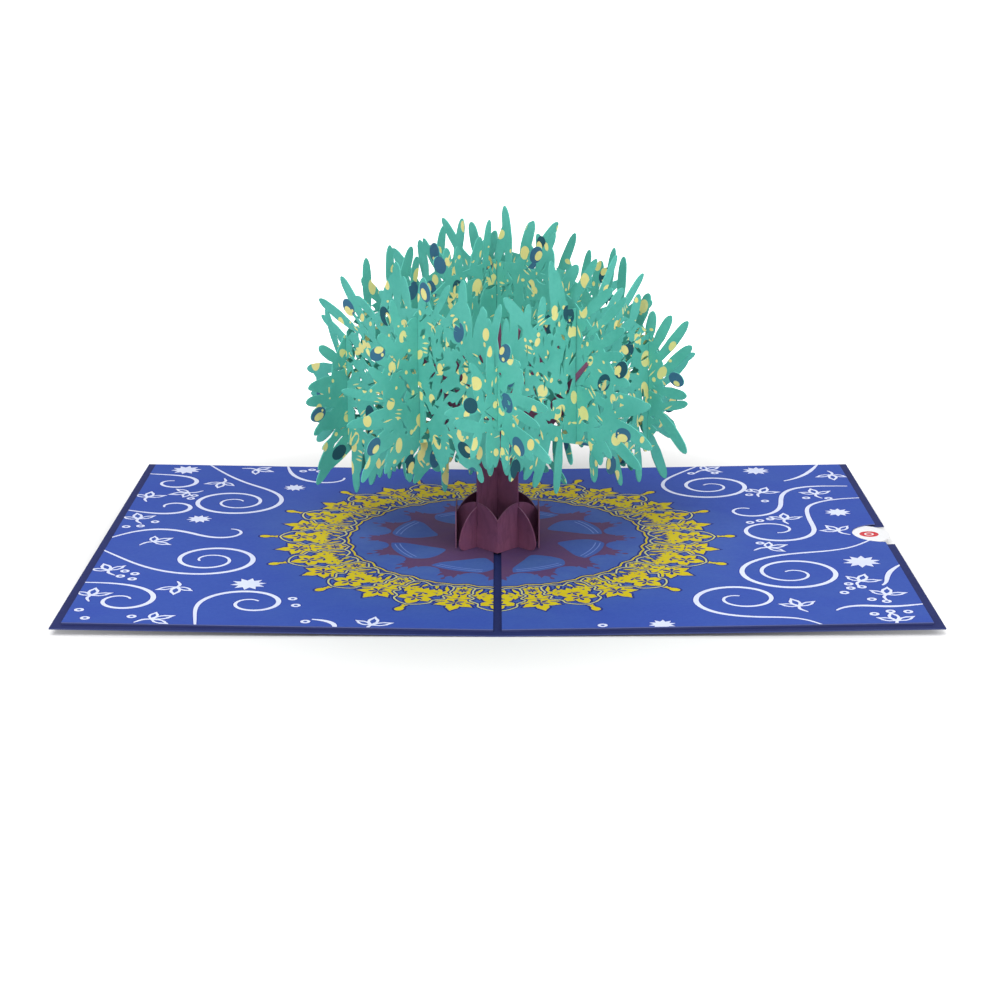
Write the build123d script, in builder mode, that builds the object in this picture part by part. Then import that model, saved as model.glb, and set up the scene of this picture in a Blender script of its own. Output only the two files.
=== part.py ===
"""Pop up card: a folded card that opens flat, with a slotted paper tree standing on its fold.

X runs across the fold, Y along it towards the back, Z up from the table under the spine.
"""
from build123d import *
from math import atan2, copysign, cos, hypot, pi, radians, sin, tan
import os
import random

os.makedirs("parts", exist_ok=True)

# Card
open_width = 254.0
card_depth = 178.0
cover_thickness = 0.4
spine_width = 2.4
rise_angle = 1.0
cover_border = 3.0
fold_border = 1.25

# Pages and the tape that holds them up from the cover
page_thickness = 0.3
tape_thickness = 0.5
tape_width = 5.0

# Thumb notch in the right edge, and the note card in its pocket
notch_radius = 10.0
notch_inset = 2.0
notch_y = 1.0
note_thickness = 0.3
note_side_gap = 1.0
note_tab_radius = 9.8
note_hidden = 2.0
note_tree_gap = 3.0

# Paper of the tree
sheet_thickness = 0.35
slot_clearance = 0.35
glue_film = 0.02
page_clearance = 0.1
tree_y = -1.5
sheet_pitch = 33.7
lap_height = 58.0
lap_clearance = 0.5

# Petal ring round the foot, and the outer petals on the trunk sheets
ring_side = 18.5
ring_valley_height = 10.4
ring_peak_height = 15.0
ring_lap_height = 7.0
petal_reach = 17.1
petal_shoulder_reach = 14.7
petal_shoulder_height = 9.2
petal_edge_height = 3.4
petal_foot_reach = 14.8
petal_top_height = 13.6

# Page tabs, upright above the page and folded under it
tab_length = 15.0
tab_height = 12.2
tab_foot_width = 5.0
slit_clearance = 0.15
slit_end_gap = 0.5

# Trunk and branches
trunk_width = 18.5
trunk_neck_height = 25.0
fork_width = 22.0
fork_height = 33.0
crown_stem_width = 9.0
branch_top_height = 73.0
branch_reach = 40.0
branch_root_width = 4.6
branch_tip_width = 1.2
branch_bend_share = 0.12

# Leaf sheets of the crown
centre_half_length = 49.5
centre_top_height = 93.5
centre_bottom_height = 39.5
outer_half_length = 40.5
outer_top_height = 82.5
outer_bottom_height = 40.0
outer_droop = 11.5
crown_waist_height = 52.0
leaf_length = 14.0
leaf_width = 4.8
leaf_pitch = 5.4
leaf_root = 4.0
olive_length = 6.2
olive_width = 4.4
olive_stem_length = 2.6
olive_stem_width = 1.1
hole_length = 5.6
hole_width = 1.9
hole_pitch = 8.8
slot_margin = 0.9
cut_overrun = 30.0

# Shapes as shares of the sizes above
leaf_profile_shares = [(0.0, 0.3), (0.48, 1.0), (0.82, 0.7)]
hole_profile_shares = [(0.35, 1.0)]
olive_corner_count = 8
body_corner_count = 22
upper_curve_shares = (1.0, 0.98)
lower_curve_shares = (0.42, 0.75)
leaf_length_range_shares = (0.5, 1.25)
leaf_pitch_range_shares = (0.7, 1.3)
leaf_turn_degrees = 38.0
leaf_bend_share = 0.09
body_wobble_share = 0.035
branch_shares = [
    # root height, tip reach, tip height and root width, as shares of the stem and of the reach
    (0.08, 0.74, 0.42, 1.0),
    (0.18, 0.96, 0.82, 1.0),
    (0.36, 0.56, 0.90, 0.9),
    (0.58, 0.24, 0.98, 0.7),
]

# Derived sizes
rise = radians(rise_angle)
half_spine = spine_width / 2
wing_length = (open_width / 2 - half_spine) / cos(rise)
page_inner = fold_border - half_spine
page_outer = wing_length - cover_border
page_depth = card_depth - 2 * cover_border
page_underside = cover_thickness + tape_thickness
page_top = page_underside + page_thickness
ring_half = ring_side / 2
tab_x = ring_half / cos(pi / 4)
tab_foot_height = cover_thickness + (tape_thickness - sheet_thickness) / 2
slot_width = sheet_thickness + slot_clearance
pair_pitch = sheet_thickness + glue_film
pair_slot_width = slot_width + pair_pitch
left_facing = radians(225)
right_facing = radians(315)


def surface_z(x, height):
    """Height over the table of the plane that lies `height` above the cover's underside."""
    return height / cos(rise) + (abs(x) - half_spine) * tan(rise)


def half_plane(side, height):
    """Plane of one half of the card, x running out from the fold, `height` above the underside."""
    outwards = (side * cos(rise), 0, sin(rise))
    upwards = (-side * sin(rise), 0, cos(rise))
    return Plane(origin=(side * half_spine, 0, 0), x_dir=outwards, z_dir=upwards).offset(height)


def sheet_plane(facing, distance):
    """Upright plane of a tree sheet, x along the sheet and y upwards, facing the given way."""
    origin = (distance * cos(facing), tree_y + distance * sin(facing), 0)
    return Plane(origin=origin, x_dir=(-sin(facing), cos(facing), 0), z_dir=(cos(facing), sin(facing), 0))


def foot_z(facing, distance, along):
    """Height at which a tree sheet ends just above the page under it."""
    x = distance * cos(facing) - along * sin(facing)
    return surface_z(x, page_top + page_clearance)


def turned(origin, heading, along, across):
    """Point at `along` and `across` from an origin, seen down a heading."""
    return (
        origin[0] + along * cos(heading) - across * sin(heading),
        origin[1] + along * sin(heading) + across * cos(heading),
    )


def leaf_points(base, heading, length, width, bend, profile_shares):
    """Corners of a pointed leaf, from its base to its tip and back."""
    def bow(share):
        return bend * length * share ** 2

    near_side = []
    far_side = []
    for along_share, width_share in profile_shares:
        half = width_share * width / 2
        along = along_share * length
        near_side.append(turned(base, heading, along, bow(along_share) - half))
        far_side.append(turned(base, heading, along, bow(along_share) + half))
    tip = turned(base, heading, length, bow(1))
    return near_side + [tip] + far_side[::-1]


def ellipse_points(centre, heading, length, width, count):
    """Corners of an even polygon on an ellipse."""
    corners = []
    for number in range(count):
        angle = 2 * pi * number / count
        corners.append(turned(centre, heading, cos(angle) * length / 2, sin(angle) * width / 2))
    return corners


class Crown:
    """Size and outline of one leaf sheet, before its leaves and slots."""

    def __init__(self, half_length, bottom, top, droop):
        self.half_length = half_length
        self.bottom = bottom
        self.top = top
        self.droop = droop

    def edge(self, angle):
        """Point of the body outline at an angle round its waist: a dome above, squarer and drooping below."""
        upper = sin(angle) > 0
        across_power, height_power = upper_curve_shares if upper else lower_curve_shares
        height = self.top - crown_waist_height if upper else crown_waist_height - self.bottom
        across = copysign(abs(cos(angle)) ** across_power, cos(angle))
        upright = copysign(abs(sin(angle)) ** height_power, sin(angle))
        droop = 0 if upper else self.droop * across * upright
        return (self.half_length * across, crown_waist_height + height * upright + droop)

    def heading(self, angle):
        """Direction that points squarely out of the outline at an angle."""
        step = pi / body_corner_count
        before = self.edge(angle - step)
        after = self.edge(angle + step)
        return atan2(before[0] - after[0], after[1] - before[1])

    def inside_share(self, point):
        """How far out a point lies, from 0 at the waist's centre to 1 on the outline."""
        height = self.top if point[1] > crown_waist_height else self.bottom
        return hypot(point[0] / self.half_length, (point[1] - crown_waist_height) / (height - crown_waist_height))


centre_crown = Crown(centre_half_length, centre_bottom_height, centre_top_height, 0)
right_crown = Crown(outer_half_length, outer_bottom_height, outer_top_height, outer_droop)
left_crown = Crown(outer_half_length, outer_bottom_height, outer_top_height, -outer_droop)


def crossings(facing):
    """Place and slot width of the three sheets that cross a sheet."""
    pair_centre = -pair_pitch / 2 if facing == left_facing else pair_pitch / 2
    return [(-sheet_pitch, slot_width), (pair_centre, pair_slot_width), (sheet_pitch, slot_width)]


def meets_slot(points, slots, from_below):
    """True if an outline reaches over a slot on the side where that slot is open."""
    lowest = min(point[0] for point in points)
    highest = max(point[0] for point in points)
    bottom = min(point[1] for point in points)
    top = max(point[1] for point in points)
    open_here = bottom < lap_height if from_below else top > lap_height
    for place, width in slots:
        reach = width / 2 + slot_margin
        if open_here and lowest < place + reach and highest > place - reach:
            return True
    return False


def body_outline(crown, chance):
    """Body of a leaf sheet, a little uneven all round."""
    corners = []
    for number in range(body_corner_count):
        x, z = crown.edge(2 * pi * number / body_corner_count)
        swell = 1 + body_wobble_share * chance.uniform(-1, 1)
        corners.append((x * swell, crown_waist_height + (z - crown_waist_height) * swell))
    return corners


def edge_leaves(crown, slots, from_below, chance):
    """Leaves that stand out all round the body, clear of the open slots."""
    shortest, longest = leaf_length_range_shares
    leaves = []
    angle = 0
    while angle < 2 * pi:
        x, z = crown.edge(angle)
        near_x, near_z = crown.edge(angle + 2 * pi / body_corner_count)
        stretch = hypot(near_x - x, near_z - z) / (2 * pi / body_corner_count)
        heading = crown.heading(angle) + radians(leaf_turn_degrees) * chance.uniform(-1, 1)
        base = turned((x, z), heading, -leaf_root, 0)
        length = leaf_root + leaf_length * chance.uniform(shortest, longest)
        bend = leaf_bend_share * chance.uniform(-1, 1)
        leaf = leaf_points(base, heading, length, leaf_width, bend, leaf_profile_shares)
        if not meets_slot(leaf, slots, from_below):
            leaves.append(leaf)
        angle += leaf_pitch * chance.uniform(*leaf_pitch_range_shares) / stretch
    return leaves


def edge_olives(crown, slots, from_below, count, chance):
    """Olives on short stems round the body, each with the outline of its stem."""
    shapes = []
    for number in range(count):
        angle = 2 * pi * (number + chance.uniform(0.2, 0.8)) / count
        heading = crown.heading(angle) + radians(leaf_turn_degrees) * chance.uniform(-1, 1)
        edge = crown.edge(angle)
        root = turned(edge, heading, -leaf_root, 0)
        stem_length = leaf_root + olive_stem_length
        centre = turned(root, heading, stem_length + olive_length / 2, 0)
        half_stem = olive_stem_width / 2
        stem = [
            turned(root, heading, 0, -half_stem),
            turned(root, heading, stem_length + olive_width / 2, -half_stem),
            turned(root, heading, stem_length + olive_width / 2, half_stem),
            turned(root, heading, 0, half_stem),
        ]
        olive = ellipse_points(centre, heading, olive_length, olive_width, olive_corner_count)
        if not meets_slot(stem + olive, slots, from_below):
            shapes += [stem, olive]
    return shapes


def leaf_gaps(crown, slots, chance):
    """Narrow gaps between the leaves inside the body, kept apart from each other and the slots."""
    gaps = []
    centres = []
    reach = hole_length / 2
    tries = 40 * body_corner_count
    for _ in range(tries):
        x = crown.half_length * chance.uniform(-1, 1)
        z = chance.uniform(crown.bottom, crown.top)
        on_body = crown.inside_share((x, z)) < 1 - hole_pitch / crown.half_length
        off_slots = all(abs(x - place) > width / 2 + reach for place, width in slots)
        apart = all(hypot(x - other[0], z - other[1]) > hole_pitch for other in centres)
        if on_body and off_slots and apart:
            centres.append((x, z))
            heading = atan2(z - crown.bottom, x) + radians(leaf_turn_degrees) * chance.uniform(-1, 1)
            length = hole_length * chance.uniform(*leaf_length_range_shares)
            base = turned((x, z), heading, -length / 2, 0)
            width = hole_width * chance.uniform(*leaf_length_range_shares)
            points = [base] + leaf_points(base, heading, length, width, 0, hole_profile_shares)
            gaps.append(points)
    return gaps


def faces_of(outlines):
    """One flat face for each closed outline."""
    return [make_face(Polyline(*outline, close=True)) for outline in outlines]


def leaf_sheet(label, facing, distance, crown, olive_count):
    """One leaf sheet, with its leaves, olives, gaps and half-lap slots."""
    from_below = facing == left_facing
    slots = crossings(facing)
    leaves = edge_leaves(crown, slots, from_below, random.Random(label + " leaves"))
    olives = edge_olives(crown, slots, from_below, olive_count, random.Random(label + " olives"))
    gaps = leaf_gaps(crown, slots, random.Random(label + " gaps"))
    body = body_outline(crown, random.Random(label + " body"))
    filled = faces_of([body] + leaves + olives)
    opened = faces_of(gaps)
    with BuildPart() as sheet:
        with BuildSketch(sheet_plane(facing, distance)):
            add(filled)
            add(opened, mode=Mode.SUBTRACT)
            cut_slots(slots, from_below, crown.bottom - cut_overrun, crown.top + cut_overrun)
        extrude(amount=sheet_thickness / 2, both=True)
    sheet.part.label = label
    return sheet


def cut_slots(slots, from_below, floor, ceiling):
    """Cut half-lap slots into the sketch that is open, from one edge to the lap."""
    for place, width in slots:
        if from_below:
            end = lap_height + lap_clearance / 2
            middle = (floor + end) / 2
            height = end - floor
        else:
            end = lap_height - lap_clearance / 2
            middle = (ceiling + end) / 2
            height = ceiling - end
        with Locations((place, middle)):
            Rectangle(width, height, mode=Mode.SUBTRACT)


# Cover: one sheet, flat under the fold and rising a little to both sides
with BuildPart() as cover:
    outer_x = half_spine + wing_length * cos(rise)
    outer_z = wing_length * sin(rise)
    top_outer_x = outer_x - cover_thickness * sin(rise)
    top_outer_z = outer_z + cover_thickness * cos(rise)
    top_spine_x = half_spine - cover_thickness * tan(rise / 2)
    with BuildSketch(Plane.XZ):
        with BuildLine():
            Polyline(
                (-half_spine, 0),
                (half_spine, 0),
                (outer_x, outer_z),
                (top_outer_x, top_outer_z),
                (top_spine_x, cover_thickness),
                (-top_spine_x, cover_thickness),
                (-top_outer_x, top_outer_z),
                (-outer_x, outer_z),
                close=True,
            )
        make_face()
    extrude(amount=card_depth / 2, both=True)
    with BuildSketch(half_plane(1, 0)):
        with Locations((wing_length - notch_inset, notch_y)):
            Circle(notch_radius)
    extrude(amount=page_top, both=True, mode=Mode.SUBTRACT)
cover.part.label = "cover"


def page_outline():
    """Rectangle of a page, in the sketch that is open."""
    with Locations(((page_inner + page_outer) / 2, 0)):
        Rectangle(page_outer - page_inner, page_depth)


def page_slit(side):
    """Slit that a page tab passes through, in the sketch that is open."""
    slit_x = (tab_x + sheet_thickness / 2 - half_spine) / cos(rise)
    with Locations((slit_x, side * tree_y)):
        Rectangle(sheet_thickness + slit_clearance, tab_length + 2 * slit_end_gap, mode=Mode.SUBTRACT)


# Pages
with BuildPart() as left_page:
    with BuildSketch(half_plane(-1, page_underside)):
        page_outline()
        page_slit(-1)
    extrude(amount=page_thickness)
left_page.part.label = "left_page"

with BuildPart() as right_page:
    with BuildSketch(half_plane(1, page_underside)):
        page_outline()
        page_slit(1)
        with Locations((wing_length - notch_inset, notch_y)):
            Circle(notch_radius, mode=Mode.SUBTRACT)
    extrude(amount=page_thickness)
right_page.part.label = "right_page"

# Tape: a closed frame under the left page, a frame open to the edge under the right one
with BuildPart() as left_page_tape:
    with BuildSketch(half_plane(-1, cover_thickness)):
        page_outline()
        with Locations(((page_inner + page_outer) / 2, 0)):
            Rectangle(page_outer - page_inner - 2 * tape_width, page_depth - 2 * tape_width, mode=Mode.SUBTRACT)
    extrude(amount=tape_thickness)
left_page_tape.part.label = "left_page_tape"

with BuildPart() as pocket_tape:
    with BuildSketch(half_plane(1, cover_thickness)):
        page_outline()
        with Locations((page_inner + tape_width, 0)):
            Rectangle(
                page_outer - page_inner,
                page_depth - 2 * tape_width,
                align=(Align.MIN, Align.CENTER),
                mode=Mode.SUBTRACT,
            )
    extrude(amount=tape_thickness)
pocket_tape.part.label = "pocket_tape"

# Note card, with the round tab that shows in the notch
note_inner = tab_x + note_tree_gap
note_outer = wing_length - notch_inset - notch_radius - note_hidden
note_depth = page_depth - 2 * (tape_width + note_side_gap)
note_underside = cover_thickness + (tape_thickness - note_thickness) / 2
with BuildPart() as note_card:
    with BuildSketch(half_plane(1, note_underside)):
        with Locations(((note_inner + note_outer) / 2, 0)):
            Rectangle(note_outer - note_inner, note_depth)
        with Locations((wing_length - note_tab_radius, notch_y)):
            Circle(note_tab_radius)
    extrude(amount=note_thickness)
note_card.part.label = "note_card"


def page_tab(side, label):
    """Upright tab beside the petal ring, with a foot folded under the page towards the fold."""
    inner_x = tab_x
    outer_x = tab_x + sheet_thickness
    foot_x = tab_x - tab_foot_width
    top_z = surface_z(tab_x, page_top) + tab_height
    foot_top = tab_foot_height + sheet_thickness
    corners = [
        (inner_x, top_z),
        (outer_x, top_z),
        (outer_x, surface_z(outer_x, tab_foot_height)),
        (foot_x, surface_z(foot_x, tab_foot_height)),
        (foot_x, surface_z(foot_x, foot_top)),
        (inner_x, surface_z(inner_x, foot_top)),
    ]
    with BuildPart() as tab:
        with BuildSketch(Plane.XZ.offset(-tree_y)):
            with BuildLine():
                Polyline(*[(side * x, z) for x, z in corners], close=True)
            make_face()
        extrude(amount=tab_length / 2, both=True)
    tab.part.label = label
    return tab


left_page_tab = page_tab(-1, "left_page_tab")
right_page_tab = page_tab(1, "right_page_tab")


def ring_petal(facing, distance, fold_side):
    """Outline of one petal of the ring; `fold_side` is the end that runs round the fold."""
    fold_end = fold_side * (ring_half + sheet_thickness / 2)
    free_end = -fold_side * (ring_half - sheet_thickness)
    low_valley = surface_z(0, page_top) + ring_valley_height
    peak = surface_z(0, page_top) + ring_peak_height
    lap = surface_z(0, page_top) + ring_lap_height
    with BuildSketch(sheet_plane(facing, distance)) as petal:
        with BuildLine():
            ThreePointArc((fold_end, low_valley), (0, peak), (free_end, low_valley))
            Polyline(
                (free_end, low_valley),
                (free_end, foot_z(facing, distance, free_end)),
                (fold_end, foot_z(facing, distance, fold_end)),
                (fold_end, low_valley),
            )
        make_face()
        with Locations((0, lap)):
            Rectangle(slot_width, cut_overrun, align=(Align.CENTER, Align.MIN), mode=Mode.SUBTRACT)
    return petal.sketch


with BuildPart() as petal_ring_front:
    extrude(ring_petal(left_facing, ring_half, 1), amount=sheet_thickness / 2, both=True)
    extrude(ring_petal(right_facing, ring_half, -1), amount=sheet_thickness / 2, both=True)
petal_ring_front.part.label = "petal_ring_front"

with BuildPart() as petal_ring_back:
    extrude(ring_petal(left_facing, -ring_half, -1), amount=sheet_thickness / 2, both=True)
    extrude(ring_petal(right_facing, -ring_half, 1), amount=sheet_thickness / 2, both=True)
petal_ring_back.part.label = "petal_ring_back"


def branch_points(side, from_below, root_height_share, reach_share, height_share, width_share):
    """Corners of one tapered branch, bowed upwards, which ends short of a slot that is open there."""
    stem_rise = branch_top_height - fork_height
    root = (0, fork_height + root_height_share * stem_rise)
    tip_height = fork_height + height_share * stem_rise
    reach = reach_share * branch_reach
    if (tip_height < lap_height) == from_below:
        reach = min(reach, sheet_pitch - slot_width - branch_tip_width)
    tip = (side * reach, tip_height)
    length = hypot(tip[0] - root[0], tip[1] - root[1])
    heading = atan2(tip[1] - root[1], tip[0] - root[0])
    middle = turned(root, heading, length / 2, -side * branch_bend_share * length)
    half_root = width_share * branch_root_width / 2
    half_tip = branch_tip_width / 2
    half_middle = (half_root + half_tip) / 2
    return [
        turned(root, heading, 0, -half_root),
        turned(middle, heading, 0, -half_middle),
        turned(tip, heading, 0, -half_tip),
        turned(tip, heading, 0, half_tip),
        turned(middle, heading, 0, half_middle),
        turned(root, heading, 0, half_root),
    ]


def trunk_sheet(facing, label):
    """Trunk sheet: outer petals at the foot, the trunk, a forked stem and its branches."""
    base = surface_z(0, page_top)
    half_trunk = trunk_width / 2
    branches = []
    for side in (-1, 1):
        for shares in branch_shares:
            branches.append(branch_points(side, facing == left_facing, *shares))
    branch_faces = faces_of(branches)
    with BuildPart() as trunk:
        with BuildSketch(sheet_plane(facing, 0)):
            with BuildLine():
                for side in (-1, 1):
                    foot = (side * petal_foot_reach, foot_z(facing, 0, petal_foot_reach))
                    edge = (side * petal_reach, base + petal_edge_height)
                    shoulder = (side * petal_shoulder_reach, base + petal_shoulder_height)
                    petal_top = (side * half_trunk, base + petal_top_height)
                    corner_x = (petal_foot_reach + 3 * petal_reach) / 4
                    corner_z = foot[1] + (edge[1] - foot[1]) / 4
                    Line((0, foot_z(facing, 0, 0)), foot)
                    ThreePointArc(foot, (side * corner_x, corner_z), edge)
                    ThreePointArc(edge, shoulder, petal_top)
                    Polyline(
                        petal_top,
                        (side * half_trunk, trunk_neck_height),
                        (side * fork_width / 2, fork_height),
                        (side * crown_stem_width / 2, fork_height + (fork_height - trunk_neck_height)),
                        (side * branch_tip_width, branch_top_height),
                        (0, branch_top_height),
                    )
            make_face()
            add(branch_faces)
            for side in (-1, 1):
                with Locations((side * ring_half, base + ring_lap_height)):
                    Rectangle(slot_width, cut_overrun, align=(Align.CENTER, Align.MAX), mode=Mode.SUBTRACT)
            cut_slots(crossings(facing), facing == left_facing, -cut_overrun, branch_top_height + cut_overrun)
        extrude(amount=sheet_thickness / 2, both=True)
    trunk.part.label = label
    return trunk


trunk_sheet_left = trunk_sheet(left_facing, "trunk_sheet_left")
trunk_sheet_right = trunk_sheet(right_facing, "trunk_sheet_right")

# Leaf sheets: the central pair is glued behind the trunk sheets, the outer four stand a pitch away
leaf_sheets = [
    leaf_sheet("canopy_front_left", left_facing, sheet_pitch, left_crown, 7),
    leaf_sheet("canopy_front_right", right_facing, sheet_pitch, right_crown, 7),
    leaf_sheet("canopy_centre_left", left_facing, -pair_pitch, centre_crown, 8),
    leaf_sheet("canopy_centre_right", right_facing, -pair_pitch, centre_crown, 8),
    leaf_sheet("canopy_back_left", right_facing, -sheet_pitch, left_crown, 7),
    leaf_sheet("canopy_back_right", left_facing, -sheet_pitch, right_crown, 7),
]

pieces = [
    cover,
    left_page,
    right_page,
    left_page_tape,
    pocket_tape,
    note_card,
    left_page_tab,
    right_page_tab,
    petal_ring_front,
    petal_ring_back,
    trunk_sheet_left,
    trunk_sheet_right,
]
for piece in pieces + leaf_sheets:
    export_step(piece.part, f"parts/{piece.part.label}.step")
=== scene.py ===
"""Looks of a pop up card: printed pages, a slotted paper tree and a pull-out note.

The pieces are in metres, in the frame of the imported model: X across the fold, Y along it to the
back, Z up. Flat drawings are in millimetres.
"""
import logging
import random
from dataclasses import dataclass
from enum import Enum, IntEnum
from math import atan2, copysign, cos, hypot, pi, radians, sin, tan
from typing import Callable, Iterable, Sequence, Union

import bmesh
import bpy
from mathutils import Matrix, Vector
from mathutils.geometry import delaunay_2d_cdt


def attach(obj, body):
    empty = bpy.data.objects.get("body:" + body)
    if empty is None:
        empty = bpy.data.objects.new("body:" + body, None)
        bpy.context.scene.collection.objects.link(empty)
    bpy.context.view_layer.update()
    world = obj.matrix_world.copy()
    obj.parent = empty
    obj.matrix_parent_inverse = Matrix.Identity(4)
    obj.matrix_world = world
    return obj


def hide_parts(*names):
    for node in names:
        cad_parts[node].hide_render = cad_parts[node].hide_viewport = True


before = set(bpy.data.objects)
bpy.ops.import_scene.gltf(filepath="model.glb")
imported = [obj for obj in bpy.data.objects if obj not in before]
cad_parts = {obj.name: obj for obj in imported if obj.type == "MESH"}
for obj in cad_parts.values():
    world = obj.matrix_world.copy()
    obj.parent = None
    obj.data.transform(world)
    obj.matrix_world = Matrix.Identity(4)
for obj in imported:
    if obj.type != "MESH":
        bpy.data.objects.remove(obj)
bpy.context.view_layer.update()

LOG = logging.getLogger("pop_up_card")
MM = 0.001
FULL_TURN = 2 * pi
UPRIGHT = ((0.0, 0.0, 1.0),)
ALONG_X = ((1.0, 0.0, 0.0),)
BLACK = (0.0, 0.0, 0.0, 1.0)
WHITE = (1.0, 1.0, 1.0, 1.0)
ROUND_END = ((0.5, 0.87), (0.87, 0.5), (1.0, 0.0), (0.87, -0.5), (0.5, -0.87))

Point = tuple[float, float]
Triple = tuple[float, float, float]
Outline = list[Point]
Colour = tuple[float, float, float]


def linear(red: int, green: int, blue: int) -> Colour:
    """Linear colour of a printed colour.

    Args:
        red: red as a screen value, 0 to 255.
        green: green likewise.
        blue: blue likewise.

    Returns:
        The linear colour.
    """
    def channel(value: int) -> float:
        """One channel on the linear scale."""
        share = value / 255
        return share / 12.92 if share <= 0.04045 else ((share + 0.055) / 1.055) ** 2.4

    return channel(red), channel(green), channel(blue)


class Facing(Enum):
    """Which way a sheet of the card faces, as the compass angle of its face in degrees."""

    LEFT = 225.0
    RIGHT = 315.0

    @property
    def angle(self) -> float:
        """The angle in radians."""
        return radians(self.value)

    @property
    def out(self) -> Vector:
        """Unit vector square to the sheet, towards the viewer."""
        return Vector((cos(self.angle), sin(self.angle), 0))

    @property
    def along(self) -> Vector:
        """Unit vector along the sheet, to the viewer's right."""
        return Vector((-sin(self.angle), cos(self.angle), 0))


@dataclass(frozen=True)
class CardSizes:
    """Sizes that the printed pieces share with the card's solids."""

    half_spine: float = 1.2 * MM
    rise: float = radians(1.0)
    page_top: float = 1.2 * MM
    tree_y: float = -1.5 * MM
    notch_radius: float = 10.0 * MM
    notch_y: float = 1.0 * MM
    sheet_thickness: float = 0.35 * MM
    slot_clearance: float = 0.35 * MM
    glue_film: float = 0.02 * MM
    sheet_pitch: float = 33.7 * MM
    lap_height: float = 58.0 * MM

    def page_height(self, x: float) -> float:
        """Height of the page's top face at a distance from the fold."""
        return self.page_top / cos(self.rise) + (abs(x) - self.half_spine) * tan(self.rise)


CARD = CardSizes()


def turned(origin: Point, heading: float, along: float, across: float) -> Point:
    """Point reached from an origin.

    Args:
        origin: where it starts.
        heading: which way it looks.
        along: how far ahead the point lies.
        across: how far to the left it lies.

    Returns:
        The point.
    """
    return (
        origin[0] + along * cos(heading) - across * sin(heading),
        origin[1] + along * sin(heading) + across * cos(heading),
    )


def around(radius: float, degrees: float) -> Point:
    """Point of a drawing at a radius and an angle from its middle."""
    return (radius * cos(radians(degrees)), radius * sin(radians(degrees)))


def signed_area(outline: Outline) -> float:
    """Area of an outline, positive where it runs anticlockwise."""
    total = 0.0
    for (x, y), (next_x, next_y) in zip(outline, outline[1:] + outline[:1]):
        total += x * next_y - next_x * y
    return total / 2


def disc(
    centre: Point, radius: float, corners: int = 20, heading: float = 0.0, squash: float = 1.0
) -> Outline:
    """Outline of a disc or an oval.

    Args:
        centre: its middle.
        radius: half of its length.
        corners: how many corners it is drawn with.
        heading: direction of its length.
        squash: its width as a share of its length.

    Returns:
        The outline.
    """
    points = []
    for number in range(corners):
        angle = FULL_TURN * number / corners
        points.append(turned(centre, heading, radius * cos(angle), radius * squash * sin(angle)))
    return points


def grown(outline: Outline, by: float) -> Outline:
    """Outline moved outwards all round, with its sharp tips kept short.

    Args:
        outline: a closed outline.
        by: how far it grows.

    Returns:
        The larger outline.
    """
    folded_back, longest_tip = 0.2, 1.6
    side = copysign(1.0, signed_area(outline))
    count = len(outline)
    larger = []
    for number, (x, y) in enumerate(outline):
        before = outline[number - 1]
        after = outline[(number + 1) % count]
        in_x, in_y = x - before[0], y - before[1]
        out_x, out_y = after[0] - x, after[1] - y
        in_length = hypot(in_x, in_y) or 1.0
        out_length = hypot(out_x, out_y) or 1.0
        push_x = side * (in_y / in_length + out_y / out_length)
        push_y = -side * (in_x / in_length + out_x / out_length)
        size = hypot(push_x, push_y)
        if size < folded_back:
            larger.append((x, y))
            continue
        reach = by * min(2 / size, longest_tip)
        larger.append((x + push_x / size * reach, y + push_y / size * reach))
    return larger


def ribbon(path: Sequence[Point], width_at: Callable[[float], float]) -> Outline:
    """Outline of a pen stroke with round ends.

    Args:
        path: points down its middle.
        width_at: width at a share of the way, from 0 to 1.

    Returns:
        The outline.
    """
    left, right = [], []
    last = len(path) - 1
    for number, (x, y) in enumerate(path):
        before = path[max(number - 1, 0)]
        after = path[min(number + 1, last)]
        heading = atan2(after[1] - before[1], after[0] - before[0])
        half = width_at(number / last) / 2
        left.append(turned((x, y), heading, 0, half))
        right.append(turned((x, y), heading, 0, -half))
        if number in (0, last):
            reach = -half if number == 0 else half
            cap = [turned((x, y), heading, reach * u, half * v) for u, v in ROUND_END]
            if number == 0:
                first_cap = cap[::-1]
            else:
                last_cap = cap
    return right + last_cap[::-1] + left[::-1] + first_cap[::-1]


def even(width: float) -> Callable[[float], float]:
    """Stroke of one width."""
    return lambda share: width


def tapered(thick: float, thin: float, peak: float = 0.4) -> Callable[[float], float]:
    """Stroke that swells and thins again.

    Args:
        thick: its width at the peak.
        thin: its width at both ends.
        peak: where the peak is, as a share of the way.

    Returns:
        Its width at a share of the way.
    """
    def width(share: float) -> float:
        """Width at a share of the way."""
        rise = share / peak if share < peak else (1 - share) / (1 - peak)
        return thin + (thick - thin) * sin(min(rise, 1.0) * pi / 2)

    return width


def smooth(points: Sequence[Point], steps: int = 6) -> list[Point]:
    """Smooth path through the given points.

    Args:
        points: points that it passes.
        steps: how many parts each stretch gets.

    Returns:
        The path.
    """
    def between(a: float, b: float, c: float, d: float, t: float) -> float:
        """Value at share t of the way from b to c, with the values before and after them."""
        square, cube = 2 * a - 5 * b + 4 * c - d, 3 * b - a - 3 * c + d
        return 0.5 * (2 * b + (c - a) * t + square * t**2 + cube * t**3)

    path = []
    padded = [points[0], *points, points[-1]]
    for stretch in zip(padded, padded[1:], padded[2:], padded[3:]):
        for step in range(steps):
            path.append(tuple(between(*values, step / steps) for values in zip(*stretch)))
    return path + [tuple(points[-1])]


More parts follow.
